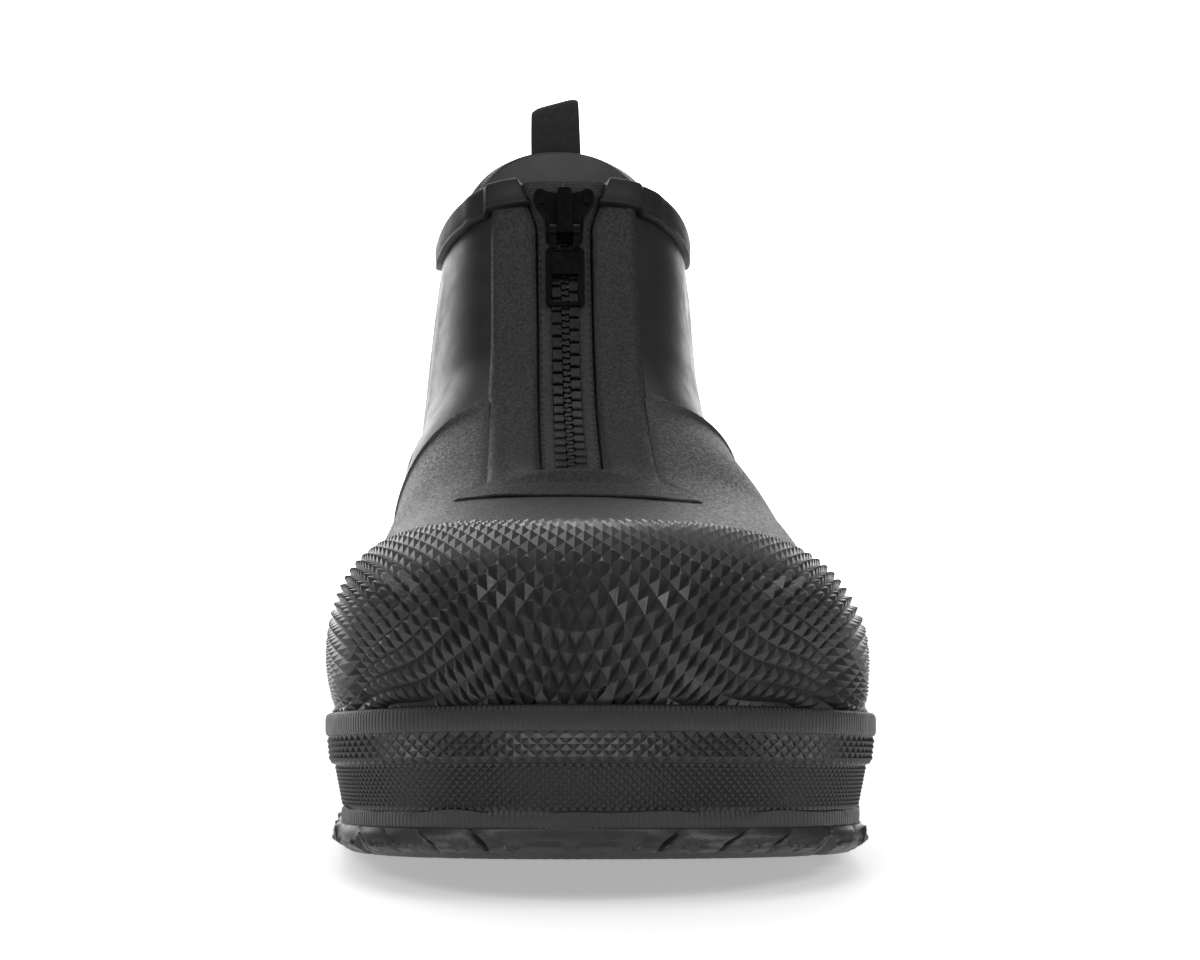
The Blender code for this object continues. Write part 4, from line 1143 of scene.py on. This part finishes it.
def sole_wall(ring, ledge, normal, run):
    """Rings of the wall from the tread's edge up to the welt: leaning petals, and knurl under scallops."""
    tip_run = np.concatenate([run[::-1], run[1:-1]])
    signed = np.concatenate([-run[::-1], run[1:-1]])
    taper = ramp(tip_run, 2, 22) * (1 - ramp(tip_run, run[-1] - 30, run[-1] - 4))
    parity = np.where(np.arange(len(ring)) % 2 == 0, 1.0, -1.0)
    place = (tip_run - PETAL_FROM) / PETAL % 1
    petal = PETAL_RISE * place - PETAL_CUT * (1 - ramp(place, 0.02, 0.2))
    petal *= ramp(tip_run, PETAL_FROM - 4, PETAL_FROM + 2)
    arc = SCALLOP_HIGH * np.sqrt(1 - (2 * (tip_run / SCALLOP % 1) - 1) ** 2)
    rings = [ring]
    for level, share in enumerate(np.linspace(0, 1, WALL_LEVELS + 1)[1:]):
        slid = signed + np.sign(signed) * PETAL_LEAN * share**2 * taper
        foot, head, out = (read_line(slid, signed, line) for line in (ring, ledge, normal))
        knurl = np.where(arc > share, SCALLOP_OUT, KNURL * parity * (-1) ** level)
        knurl = knurl * (1 - ramp(share, *KNURL_END))
        reach = float(ramp(share, 0.0, 0.25) * (1 - ramp(share, 0.8, 1.0)))
        out_by = WALL_BOW * math.sin(math.pi * share) + petal * reach + knurl
        made = foot + (head - foot) * share
        made[:, :2] = foot[:, :2] + out[:, :2] * out_by[:, None]
        rings.append(made)
    return rings


def make_outsole():
    piece = Piece()
    grid, run = tread_grid()
    piece.grid(grid)
    inner, outer, _ = dense_rungs(0.0, SOLE_ROWS)
    base = border(inner, outer)
    normal = loop_out(base)
    ledge = ring_at(base, normal, LUG_OUT, -WELT_DEPTH - 0.25)
    wall = sole_wall(border(grid[:, 0], grid[:, -1]), ledge, normal, run)
    piece.grid(closed_rows(wall))
    lengths = run_along(np.vstack([base, base[:1]]))
    wave = sum(high * np.sin(lengths[:-1] / long + start) for high, long, start in WELT_WAVES)
    welt = [ring_at(base, normal, WELT_OUT + out, height) for out, height in WELT_RINGS]
    welt[1][:, 2] += 0.6 * wave
    welt[2][:, 2] += wave
    rings = closed_rows(wall[-1:] + welt)
    piece.grid(rings, uv=np.stack(np.meshgrid(lengths, np.arange(5.0)), axis=-1), mark=1)
    top_in, top_out, _ = dense_rungs(WELT_OUT + WELT_RINGS[-1][0], SOLE_ROWS)
    cover = between(top_in, top_out, np.linspace(0, 1, 9))
    cover[..., 2] = sole_top(cover[..., 1])
    for column, line in ((0, inner), (-1, outer)):
        cover[:, column, 2] = sole_top(line[:, 1])
    piece.grid(cover)
    piece.make("outsole_tread", [SOLE_RUBBER, RIBBED_SOLE], ("outsole",), "black_rubber", sharp=38)


INSOLE_HOLLOW = 0.5


def make_insole():
    """The insole's two faces, the upper one a little hollow under the heel, and its edge."""
    piece = Piece()
    inner, outer, _ = dense_rungs(-INSOLE_INSET, 160)
    t = np.linspace(0, 1, 25)
    grid = between(inner, outer, t)
    grid[..., 2] = sole_top(grid[..., 1]) + INSOLE_LIFT
    top = grid.copy()
    top[..., 2] += INSOLE_THICK
    inside = (slice(1, -1), slice(1, -1))
    top[inside][..., 2] -= INSOLE_HOLLOW * (1 - (2 * t[1:-1] - 1) ** 2) * ramp(grid[inside][..., 1], 200, 260)
    piece.grid(grid)
    piece.grid(top)
    piece.grid(closed_rows([border(face[:, 0], face[:, -1]) for face in (grid, top)]))
    piece.make("insole_board", [INSOLE_CLOTH], ("insole",), "insole_fabric", sharp=40)


# The collar's binding as places round its section: row place and lift off the upper
BindingPlace = namedtuple("BindingPlace", "u lift jog")
BINDING = (
    BindingPlace(12.96, -2.6, 0),
    BindingPlace(13.0, -2.35, 0.1),
    BindingPlace(13.0, 0.2, 0.6),
    BindingPlace(12.99, 1.3, 1),
    BindingPlace(12.93, 1.85, 1),
    BindingPlace(12.8, 2.05, 1),
    BindingPlace(12.5, 2.05, 1),
    BindingPlace(12.24, 2.0, 1),
    BindingPlace(12.2, 1.8, 1),
    BindingPlace(12.165, 1.8, 1),
    BindingPlace(12.13, 2.0, 1),
    BindingPlace(12.05, 1.95, 1),
    BindingPlace(12.01, 1.5, 1),
    BindingPlace(12.0, 0.1, 0.4),
)
BAND_JOG = 0.2
# Distances over which the band comes down from over the placket, in two steps
OVER_STEP = (PLACKET_HALF - 0.8, PLACKET_HALF + 1.4)
NEXT_STEP = (PLACKET_HALF + 8.2, PLACKET_HALF + 9.8)
OVER_LIFT, NEXT_LIFT = 1.15, 0.5
OVER_RAISE, NEXT_RAISE = 0.7, 0.3
BAND_FLARE, FLARE_AT, FLARE_WIDE = 0.5, 78, 32


def band_columns(u, side):
    edge = placket_half(u)
    near = np.linspace(slit_half(u) + 0.15, edge - 2.2, 14)
    jog = np.linspace(edge - 1.6, edge + 2.4, 12)
    away = np.concatenate([near, jog, np.linspace(edge + 4, arch_length(u, side), 90)])
    return away if side > 0 else -away[::-1]


def band_strip(u, distance):
    trio = np.array([strip(v, distance) for v in (u - 0.02, u, min(u + 0.02, LAST))])
    return trio[1], normals_of(trio)[1]


def make_collar_band():
    """The binding in two halves: its foot steps up where it passes over the placket."""
    for side, name in SIDES:
        rings = []
        for place in BINDING:
            distance = band_columns(place.u, side)
            away = np.abs(distance)
            over, second = 1 - ramp(away, *OVER_STEP), 1 - ramp(away, *NEXT_STEP)
            points, normal = band_strip(place.u, distance)
            shift = BAND_JOG * (LAST - place.u)
            if shift > 0:
                higher, _ = band_strip(place.u + shift, distance)
                points = points + (higher - points) * (over * OVER_RAISE + second * NEXT_RAISE)[:, None]
            flare = BAND_FLARE * ramp(place.u, 12.1, 12.9) * bump_at(away, FLARE_AT, FLARE_WIDE) * place.jog
            lift = place.lift + (OVER_LIFT * over + NEXT_LIFT * second) * place.jog + flare
            rings.append(points + normal * lift[:, None])
        piece = Piece()
        piece.grid(np.array(rings))
        ends = np.array(rings)[:, 0 if side > 0 else -1]
        half = len(ends) // 2
        piece.grid(np.array([ends[:half], ends[: half - 1 : -1][:half]]))
        nodes = ("collar_band",) if side < 0 else ()
        piece.make("collar_band_" + name, [BAND_RUBBER], nodes, "black_rubber", sharp=45)


# The zip
TAPE_THICK = 0.7
TAPE_RAISED = 2.3
TOOTH_PITCH = 4.2
TEETH_STOP = 8.0
SLIDER_DOWN = 12.2


def centre_line():
    places = np.linspace(ROW_OF["zip_foot"], LAST, 400)
    line = np.array([half_arch(u, 1)[0][0] for u in places])
    return line, run_along(line), places


LINE, LINE_RUN, LINE_U = centre_line()
AXIS_STEP = 1.5


def zip_axes(run):
    """Place, upward direction and outward normal of the zip's centre line at a run from its foot."""
    here, ahead, behind = read_line([run, run + AXIS_STEP, run - AXIS_STEP], LINE_RUN, LINE)
    up = (ahead - behind) / np.linalg.norm(ahead - behind)
    return here, up, np.array([0, -up[2], up[1]])


def tape_columns(u, side):
    slit = slit_half(u)
    middle = np.linspace(4.4, slit - 0.6, 8)
    at = np.concatenate([[0.25, 2.0, 3.6], middle, [slit, slit + 1.5, slit + TAPE_LAP - GAP]])
    return side * (at[::-1] if side < 0 else at)


def make_tapes():
    rows = np.linspace(FOOT_ROW - 0.3, LAST, 110)
    slit = slit_half(rows)[:, None]
    for side, name in SIDES:
        distance = np.array([tape_columns(u, side) for u in rows])
        grid = np.array([strip(u, row) for u, row in zip(rows, distance)])
        away = np.abs(distance)
        raised = TAPE_RAISED * (1 - ramp(away, slit - 0.9, slit + 0.2)) * ramp(rows, 5.9, 6.1)[:, None]
        run = np.interp(rows, LINE_U, LINE_RUN)[:, None] + 0 * away
        piece = Piece()
        lifted = grid + normals_of(grid) * (raised - WALL - GAP)[..., None]
        piece.grid(lifted, uv=np.stack([away, run], axis=-1))
        nodes = ("zip_tape_" + name,)
        obj = piece.make(f"zip_tape_{name}_cloth", [TAPE_CLOTH], nodes, "black_webbing", outward=True)
        thicken(obj, TAPE_THICK)


# Half of one moulded tooth seen from the front: x from the centre line, y along the zip
ToothPlace = namedtuple("ToothPlace", "x y")
TOOTH_HALF = (
    ToothPlace(4.0, 1.7),
    ToothPlace(1.45, 1.7),
    ToothPlace(1.2, 1.45),
    ToothPlace(1.1, 0.6),
    ToothPlace(0.3, 0.55),
    ToothPlace(-0.1, 0.95),
    ToothPlace(-0.85, 0.95),
    ToothPlace(-1.15, 0.5),
)
TOOTH = [ToothPlace(place.x, -place.y) for place in TOOTH_HALF] + list(reversed(TOOTH_HALF))
# Heights off the zip's line, each with the share of the tooth's full size there
TOOTH_LEVELS = ((-1.6, 1.0), (0.4, 1.0), (0.75, 0.8))
TOOTH_MIDDLE = 1.55
TOOTH_TAPER = 0.35
TOOTH_FROM = 1.4
HEAD_END, HEAD_DROP = 0.5, 0.3


def make_teeth():
    n = len(TOOTH)
    end = LINE_RUN[-1] - TEETH_STOP
    for side, name in SIDES:
        verts, faces = [], []
        for k in range(int(end / TOOTH_PITCH) + 1):
            run = TOOTH_FROM + TOOTH_PITCH * (k + (0.5 if side > 0 else 0.0))
            if run > end:
                continue
            here, up, out = zip_axes(run)
            start = len(verts)
            for level, shrink in TOOTH_LEVELS:
                for place in TOOTH:
                    x = TOOTH_MIDDLE + (place.x - TOOTH_MIDDLE) * (1 - (1 - shrink) * TOOTH_TAPER)
                    lowered = HEAD_DROP if place.x < HEAD_END else 0.0
                    point = here + np.array([side * x, 0, 0]) + up * place.y * shrink
                    verts.append(point + out * (level - lowered))
            for lap in (start, start + n):
                faces += [[lap + m, lap + (m + 1) % n, lap + (m + 1) % n + n, lap + m + n] for m in range(n)]
            faces.append([start + 2 * n + m for m in range(n)])
            faces.append([start + m for m in reversed(range(n))])
        mesh = bpy.data.meshes.new("teeth_" + name)
        mesh.from_pydata(to_frame(verts).tolist(), [], faces)
        nodes = ("zip_teeth_" + name,)
        obj = finish_mesh(f"zip_teeth_{name}_row", mesh, [TOOTH_PLASTIC], nodes, "black_plastic", sharp=30)
        round_edges(obj, 0.14, 2, 40.0)


# Stitches: their spacing, half length, place in from the slit, and rings as share, radius and lift
STITCH_PITCH, STITCH_HALF, STITCH_IN = 2.6, 0.85, 1.35
STITCH_SUNK = 0.02
STITCH_RINGS = ((0, 0.05, -0.15), (0.25, 0.26, 0.02), (0.75, 0.26, 0.02), (1, 0.05, -0.15))


def make_stitches():
    """Short thread stitches along both edges of the tape."""
    piece = Piece()
    turn = np.linspace(0, 2 * math.pi, 7)
    for side in (-1, 1):
        for run in np.arange(2.0, LINE_RUN[-1] - 3, STITCH_PITCH):
            _, up, out = zip_axes(run)
            ends = np.interp([run - STITCH_HALF, run + STITCH_HALF], LINE_RUN, LINE_U)
            first, last = (strip(u, [side * (slit_half(u) - STITCH_IN)])[0] for u in ends)
            first = first + out * (TAPE_RAISED - WALL - GAP - STITCH_SUNK)
            last = last + out * (TAPE_RAISED - WALL - GAP - STITCH_SUNK)
            across = np.cross(up, out)
            rings = []
            for share, radius, lift in STITCH_RINGS:
                centre = first + (last - first) * share + out * lift
                rings.append([centre + (across * math.cos(a) + out * math.sin(a)) * radius for a in turn])
            piece.grid(np.array(rings))
    piece.make("tape_stitches", [WEBBING], (), "black_webbing", sharp=80)


# The slider and its pull tab are made flat, with y up the zip and z out of it, then set on the zip
BRIDGE_TOP = 5.9
HINGE_DOWN = 6.2
HINGE_UP = 4.5
PIN_RADIUS = 0.8
PIN_REACH = 4.5
PIN_PLAY = 0.35
BRIDGE_WIDE, BRIDGE_LONG = 4.2, 14.4
CORNER_AT = 6.7
PULL_LEAN = -1.8
SLIDER_LIFT = 0.35
SLIDER_THICK = 1.8


def zip_matrix():
    here, up, _ = zip_axes(LINE_RUN[-1] - SLIDER_DOWN)
    turn = Matrix.Rotation(math.atan2(up[2], up[1]), 4, "X")
    return Matrix.Translation(Vector(to_frame(here).tolist())) @ turn


ZIP = zip_matrix()


class Solid:
    """A solid gathered from plates, blocks and rods in millimetres of its own frame."""

    def __init__(self):
        self.bm = bmesh.new()

    def plate(self, outline, low, high, hole=()):
        edges = []
        for line in (outline, hole):
            verts = [self.bm.verts.new((x, y, low)) for x, y in line]
            edges += [self.bm.edges.new(pair) for pair in zip(verts, verts[1:] + verts[:1])]
        filled = bmesh.ops.triangle_fill(self.bm, edges=edges, use_beauty=True)
        faces = [item for item in filled["geom"] if isinstance(item, bmesh.types.BMFace)]
        made = bmesh.ops.extrude_face_region(self.bm, geom=faces)
        for item in made["geom"]:
            if isinstance(item, bmesh.types.BMVert):
                item.co.z += high - low

    def block(self, low, high):
        made = bmesh.ops.create_cube(self.bm, size=1.0)
        for vert in made["verts"]:
            vert.co = [a + (b - a) * (c + 0.5) for a, b, c in zip(low, high, vert.co)]

    def rod(self, radius, reach, y, z):
        made = bmesh.ops.create_cone(
            self.bm, cap_ends=True, segments=24, radius1=radius, radius2=radius, depth=2 * reach
        )
        for vert in made["verts"]:
            a, b, c = vert.co
            vert.co = (c, b + y, a + z)

    def make(self, name, matrix, finish, nodes, body):
        mesh = bpy.data.meshes.new(name)
        bmesh.ops.scale(self.bm, vec=(MM, MM, MM), verts=self.bm.verts)
        bmesh.ops.transform(self.bm, matrix=matrix, verts=self.bm.verts)
        self.bm.to_mesh(mesh)
        self.bm.free()
        return finish_mesh(name, mesh, [finish], nodes, "black_plastic", body, weld=0.0001)


def rounded(wide, low, high, corner, steps=4):
    half = wide / 2
    made = []
    for cx, cy, first in (
        (half - corner, high - corner, 0),
        (-half + corner, high - corner, 90),
        (-half + corner, low + corner, 180),
        (half - corner, low + corner, 270),
    ):
        for k in range(steps + 1):
            a = math.radians(first + 90 * k / steps)
            made.append((cx + corner * math.cos(a), cy + corner * math.sin(a)))
    return made


SLIDER_HALF = (
    (4.4, -8.6),
    (5.2, -8.1),
    (5.5, -7.2),
    (5.7, -3.0),
    (5.8, -1.0),
    (6.8, 0.9),
    (8.4, 3.4),
    (9.0, 4.9),
    (9.0, 7.0),
    (8.4, 8.0),
    (7.4, 8.6),
    (6.2, 8.5),
    (4.8, 7.6),
    (2.6, 7.3),
)


def make_slider():
    outline = list(SLIDER_HALF) + [(-x, y) for x, y in reversed(SLIDER_HALF)]
    solid = Solid()
    top = SLIDER_LIFT + SLIDER_THICK
    solid.plate(outline, SLIDER_LIFT, top)
    solid.plate([(x * 0.8, y * 0.82 - 0.3) for x, y in outline], top - 0.05, top + 0.2)
    half, end = BRIDGE_WIDE / 2, BRIDGE_LONG / 2
    solid.block((-half, -end, top - 0.1), (half, end, BRIDGE_TOP - 0.9))
    solid.plate(rounded(BRIDGE_WIDE, -end - 0.05, end + 0.05, 1.0), top + 0.8, BRIDGE_TOP)
    solid.rod(PIN_RADIUS, PIN_REACH, -HINGE_DOWN, HINGE_UP)
    for x in (-CORNER_AT, CORNER_AT):
        solid.block((x - 0.8, 3.4, top - 0.05), (x + 0.8, 7.2, top + 0.75))
    obj = solid.make("slider_body", ZIP, SLIDER_PLASTIC, ("zip_slider",), "shoe")
    round_edges(obj, 0.35, 3, 35.0)


PULL_WIDE = 11.4
PULL_FROM = 5.6
PULL_LONG = 23.6
WINDOW_FROM = 13.7
WINDOW_TO = 22.4
WINDOW_WIDE = 8.2
PULL_HALF_THICK = 0.8
PULL_SHEET = 0.25
RELIEF_FOOT = 0.2
EYE_RADIUS = 1.9
EYE_FROM, EYE_TO = 2.45, 4.4


def circle(radius, count):
    turns = np.linspace(0, 2 * math.pi, count, endpoint=False)
    return [(math.cos(a) * radius, math.sin(a) * radius) for a in turns]


def make_pull():
    """The pull: a bordered panel above an open window, on two eyes round the slider's pin."""
    solid = Solid()
    thick = PULL_HALF_THICK
    window = rounded(WINDOW_WIDE, -WINDOW_TO, -WINDOW_FROM, 0.5)
    solid.plate(rounded(PULL_WIDE, -PULL_LONG, -PULL_FROM, 1.6), -thick, PULL_SHEET, hole=window)
    panel = rounded(WINDOW_WIDE + 0.2, -WINDOW_FROM + 0.5, -PULL_FROM - 0.9, 0.5)
    frame_line = rounded(PULL_WIDE - 0.1, -WINDOW_FROM - 0.1, -PULL_FROM, 1.4)
    solid.plate(frame_line, RELIEF_FOOT, thick, hole=panel)
    rail = (PULL_WIDE - WINDOW_WIDE) / 2
    sides = ((-EYE_TO, -EYE_FROM, -1), (EYE_FROM, EYE_TO, 1))
    for start, end, side in sides:
        middle = side * (WINDOW_WIDE + rail) / 2
        low, high = middle - rail / 2 + 0.05, middle + rail / 2 - 0.05
        solid.block((low, -PULL_LONG + 1.2, RELIEF_FOOT), (high, -WINDOW_FROM, thick))
        solid.block((start, -PULL_FROM - 0.6, -thick), (end, -1.5, thick))
    solid.plate(rounded(PULL_WIDE - 0.2, -PULL_LONG, -WINDOW_TO + 0.1, 0.6), RELIEF_FOOT, thick + 0.05)
    for start, end, _ in reversed(sides):
        eye = Solid()
        eye.plate(circle(EYE_RADIUS, 24), start, end, hole=circle(PIN_RADIUS + PIN_PLAY, 16))
        for vert in eye.bm.verts:
            x, y, z = vert.co
            vert.co = (z, y, x)
        mesh = bpy.data.meshes.new("eye")
        eye.bm.to_mesh(mesh)
        eye.bm.free()
        solid.bm.from_mesh(mesh)
        bpy.data.meshes.remove(mesh)
    lean = Matrix.Rotation(math.radians(-PULL_LEAN), 4, "X")
    place = Matrix.Translation((0, -HINGE_DOWN * MM, HINGE_UP * MM))
    obj = solid.make("pull_tab", ZIP @ place @ lean, SLIDER_PLASTIC, ("zip_pull",), "pull")
    round_edges(obj, 0.22, 2, 40.0)


# The webbing loop
LoopPlace = namedtuple("LoopPlace", "s up bow")
LOOP_WIDE = 18.6
LOOP_THICK = 1.5
LOOP_SLANT = 0.26
LOOP_HIGH = 20
LOOP_NARROWS, LOOP_LEANS, LOOP_CORNER = 0.045, 0.4, 1.4
LOOP_SMOOTHINGS = 10
PULL_LOOP = (
    LoopPlace(298.1, -9.5, 1.7),
    LoopPlace(297.8, -4, 1.7),
    LoopPlace(299.0, 1, 1.4),
    LoopPlace(302.0, 7, 0.6),
    LoopPlace(303.2, 12.5, 0.3),
    LoopPlace(302.4, 17.4, 0.2),
    LoopPlace(299.8, 20.4, 0.2),
    LoopPlace(297.2, 18.0, 0.2),
    LoopPlace(296.3, 12.5, 0.3),
    LoopPlace(296.5, 7, 0.6),
    LoopPlace(296.8, 1, 1.4),
    LoopPlace(297.0, -4, 1.7),
    LoopPlace(297.4, -9.5, 1.7),
)


def loop_section():
    """The webbing's section as x across and height of its skin, once round."""
    half = LOOP_WIDE / 2
    rim = [(half - 0.3, LOOP_THICK - 0.05), (half, LOOP_THICK - 0.3), (half, 0.3), (half - 0.3, 0.05)]
    flat = np.linspace(-half + 0.8, half - 0.8, 17)
    made = [(-half, 0.3), (-half, LOOP_THICK - 0.3), (-half + 0.3, LOOP_THICK - 0.05)]
    made += [(x, LOOP_THICK) for x in flat] + rim + [(x, 0.0) for x in flat[::-1]]
    return made + [(-half + 0.3, 0.05), (-half, 0.3)]


def make_pull_loop():
    top = foxing_top(SECTIONS[-1].base_s) + SECTIONS[-1].rise
    table = np.array(PULL_LOOP, float)
    run = run_along(table[:, :2])
    at = np.linspace(0, run[-1], 90)
    path = read_line(at, run, table)
    for _ in range(LOOP_SMOOTHINGS):
        path[1:-1] = (path[:-2] + 2 * path[1:-1] + path[2:]) / 4
    ahead = np.gradient(path[:, :2], axis=0)
    ahead /= np.linalg.norm(ahead, axis=1, keepdims=True)
    out = np.column_stack([ahead[:, 1], -ahead[:, 0]])
    out *= np.sign(out[0, 0])
    section = loop_section()
    rows, uv = [], []
    for (s, up, bow), (out_s, out_z), place in zip(path, out, at):
        high = max(up, 0) / LOOP_HIGH
        for x, skin in section:
            share = x / (LOOP_WIDE / 2)
            slant = LOOP_SLANT * x * high - LOOP_CORNER * high * abs(share) ** 6
            across = x * (1 - LOOP_NARROWS * high) - LOOP_LEANS * high
            rows.append((across, s - bow * share**2 + out_s * skin, top + up + slant + out_z * skin))
            uv.append((x, place))
    piece = Piece()
    grid = np.array(rows).reshape(len(path), len(section), 3)
    piece.grid(grid, uv=uv)
    for ring in (grid[0], grid[-1]):
        n = (len(ring) - 1) // 2
        piece.grid(np.array([ring[:n], ring[::-1][1 : n + 1]]))
    piece.make("heel_loop", [WEBBING], ("pull_loop",), "black_webbing", sharp=50)


# A plain oval patch on the inner side of the ankle
PATCH_AT = 8.6
PATCH_ROUND = 78.0
PATCH_U = 0.24
PATCH_HALF = 7.5
# The patch's rings as share of its size and height off the upper
PATCH_RINGS = (
    (0.0, 1.25), (0.5, 1.3), (0.74, 1.25), (0.8, 1.05), (0.86, 1.3), (0.95, 1.25), (1.0, 0.9), (1.0, 0.1)
)


def make_side_patch():
    rings = []
    for share, lift in PATCH_RINGS:
        ring = []
        for turn in np.linspace(0, 2 * math.pi, 49):
            u = PATCH_AT + PATCH_U * share * math.cos(turn)
            at = PATCH_ROUND + PATCH_HALF * share * math.sin(turn)
            here = strip(u, [-at - 1, -at, -at + 1])
            up = strip(u + 0.02, [-at])[0] - here[1]
            normal = np.cross(here[2] - here[0], up)
            normal /= np.linalg.norm(normal)
            ring.append(here[1] + normal * (GAP + lift) * np.sign(np.dot(normal, (-1, 0, 0))))
        rings.append(ring)
    piece = Piece()
    piece.grid(np.array(rings))
    piece.make("ankle_patch", [BAND_RUBBER], ("side_patch",), "black_rubber", sharp=40)


def area_light(name, place, target, size, power):
    lamp = bpy.data.lights.new(name, "AREA")
    lamp.shape = "RECTANGLE"
    lamp.size, lamp.size_y = size
    lamp.energy = power
    obj = bpy.data.objects.new(name, lamp)
    bpy.context.scene.collection.objects.link(obj)
    obj.location = place
    obj.rotation_euler = (Vector(target) - Vector(place)).to_track_quat("-Z", "Y").to_euler()


# The studio: a bright white sweep behind, a softer light above, a small key light in front and a dim room
Glow = namedtuple("Glow", "toward low high strength")
GLOWS = (Glow((-0.16, 0.987, 0.0), 0.52, 0.8, 2.6), Glow((0.0, 0.0, 1.0), 0.7, 0.95, 0.9))
ROOM_GLOW = 0.16
FLOOR_GLOW = 0.4
FLOOR_SPAN = 6.0
FLOOR_FRONT = (-0.5, -0.17)
FLOOR_DIM = 0.3
FLOOR_GREYS = ((0.6, 0.6, 0.6), (0.91, 0.91, 0.91))
LIGHT_AT, LIGHT_TO = (0.5, -0.7, 0.54), (0, -0.14, 0.05)
LIGHT_SIZE, LIGHT_POWER = (0.55, 0.25), 2.4
CAMERA_AT = (-18.7, -270.0, 61.5)
SENSOR, LENS = 36.0, 45.0
SHIFT = (0.078, 0.0783)


def make_sky():
    world = bpy.data.worlds.new("studio")
    bpy.context.scene.world = world
    world.use_nodes = True
    sky = Nodes(world.node_tree)
    toward = sky.coords("Generated")
    strength = ROOM_GLOW
    for glow in GLOWS:
        dot = sky.node("ShaderNodeVectorMath", operation="DOT_PRODUCT")
        sky.link(toward, dot.inputs[0])
        dot.inputs[1].default_value = glow.toward
        part = sky.range(dot.outputs["Value"], 0.0, glow.strength, glow.low, glow.high, "SMOOTHSTEP")
        strength = sky.reckon("ADD", part, strength)
    back = sky.tree.nodes["Background"]
    sky.link(strength, back.inputs["Strength"])
    back.inputs["Color"].default_value = (1, 1, 1, 1)


def make_floor():
    """A pale floor that glows a little and falls off towards the camera."""
    mesh = bpy.data.meshes.new("floor")
    corners = [(-1, -1), (1, -1), (1, 1), (-1, 1)]
    mesh.from_pydata([(FLOOR_SPAN * x, FLOOR_SPAN * y, 0) for x, y in corners], [], [(0, 1, 2, 3)])
    floor = bpy.data.objects.new("floor", mesh)
    bpy.context.scene.collection.objects.link(floor)
    pale = Shader("pale_floor", (0.9, 0.9, 0.9), 0.7)
    split = pale.node("ShaderNodeSeparateXYZ")
    pale.link(pale.coords("Object"), split.inputs["Vector"])
    light = pale.range(split.outputs["Y"], FLOOR_DIM, 1.0, *FLOOR_FRONT, "SMOOTHSTEP")
    pale.vary_colour(light, *FLOOR_GREYS, 0.0, 1.0)
    pale.link(pale.reckon("MULTIPLY", light, FLOOR_GLOW), pale.bsdf.inputs["Emission Strength"])
    pale.bsdf.inputs["Emission Color"].default_value = (1, 1, 1, 1)
    mesh.materials.append(pale.made)


def make_lights():
    x, y, z = LIGHT_AT
    for side, name in ((-1, "front_left"), (1, "front_right")):
        area_light(name, (side * x, y, z), LIGHT_TO, LIGHT_SIZE, LIGHT_POWER)


def make_camera():
    cam = bpy.data.cameras.new("camera")
    cam.sensor_fit = "HORIZONTAL"
    cam.sensor_width = SENSOR
    cam.lens = LENS
    cam.shift_x, cam.shift_y = SHIFT
    cam.clip_start = 0.01
    obj = bpy.data.objects.new("camera", cam)
    bpy.context.scene.collection.objects.link(obj)
    obj.location = to_frame(CAMERA_AT)
    obj.rotation_euler = (math.pi / 2, 0, 0)
    bpy.context.scene.camera = obj


make_upper()
make_toe_cap()
make_placket()
make_foxing()
make_outsole()
make_insole()
make_collar_band()
make_tapes()
make_teeth()
make_stitches()
make_slider()
make_pull()
make_pull_loop()
make_side_patch()
make_sky()
make_floor()
make_lights()
make_camera()
bpy.context.scene.view_settings.view_transform = "Standard"
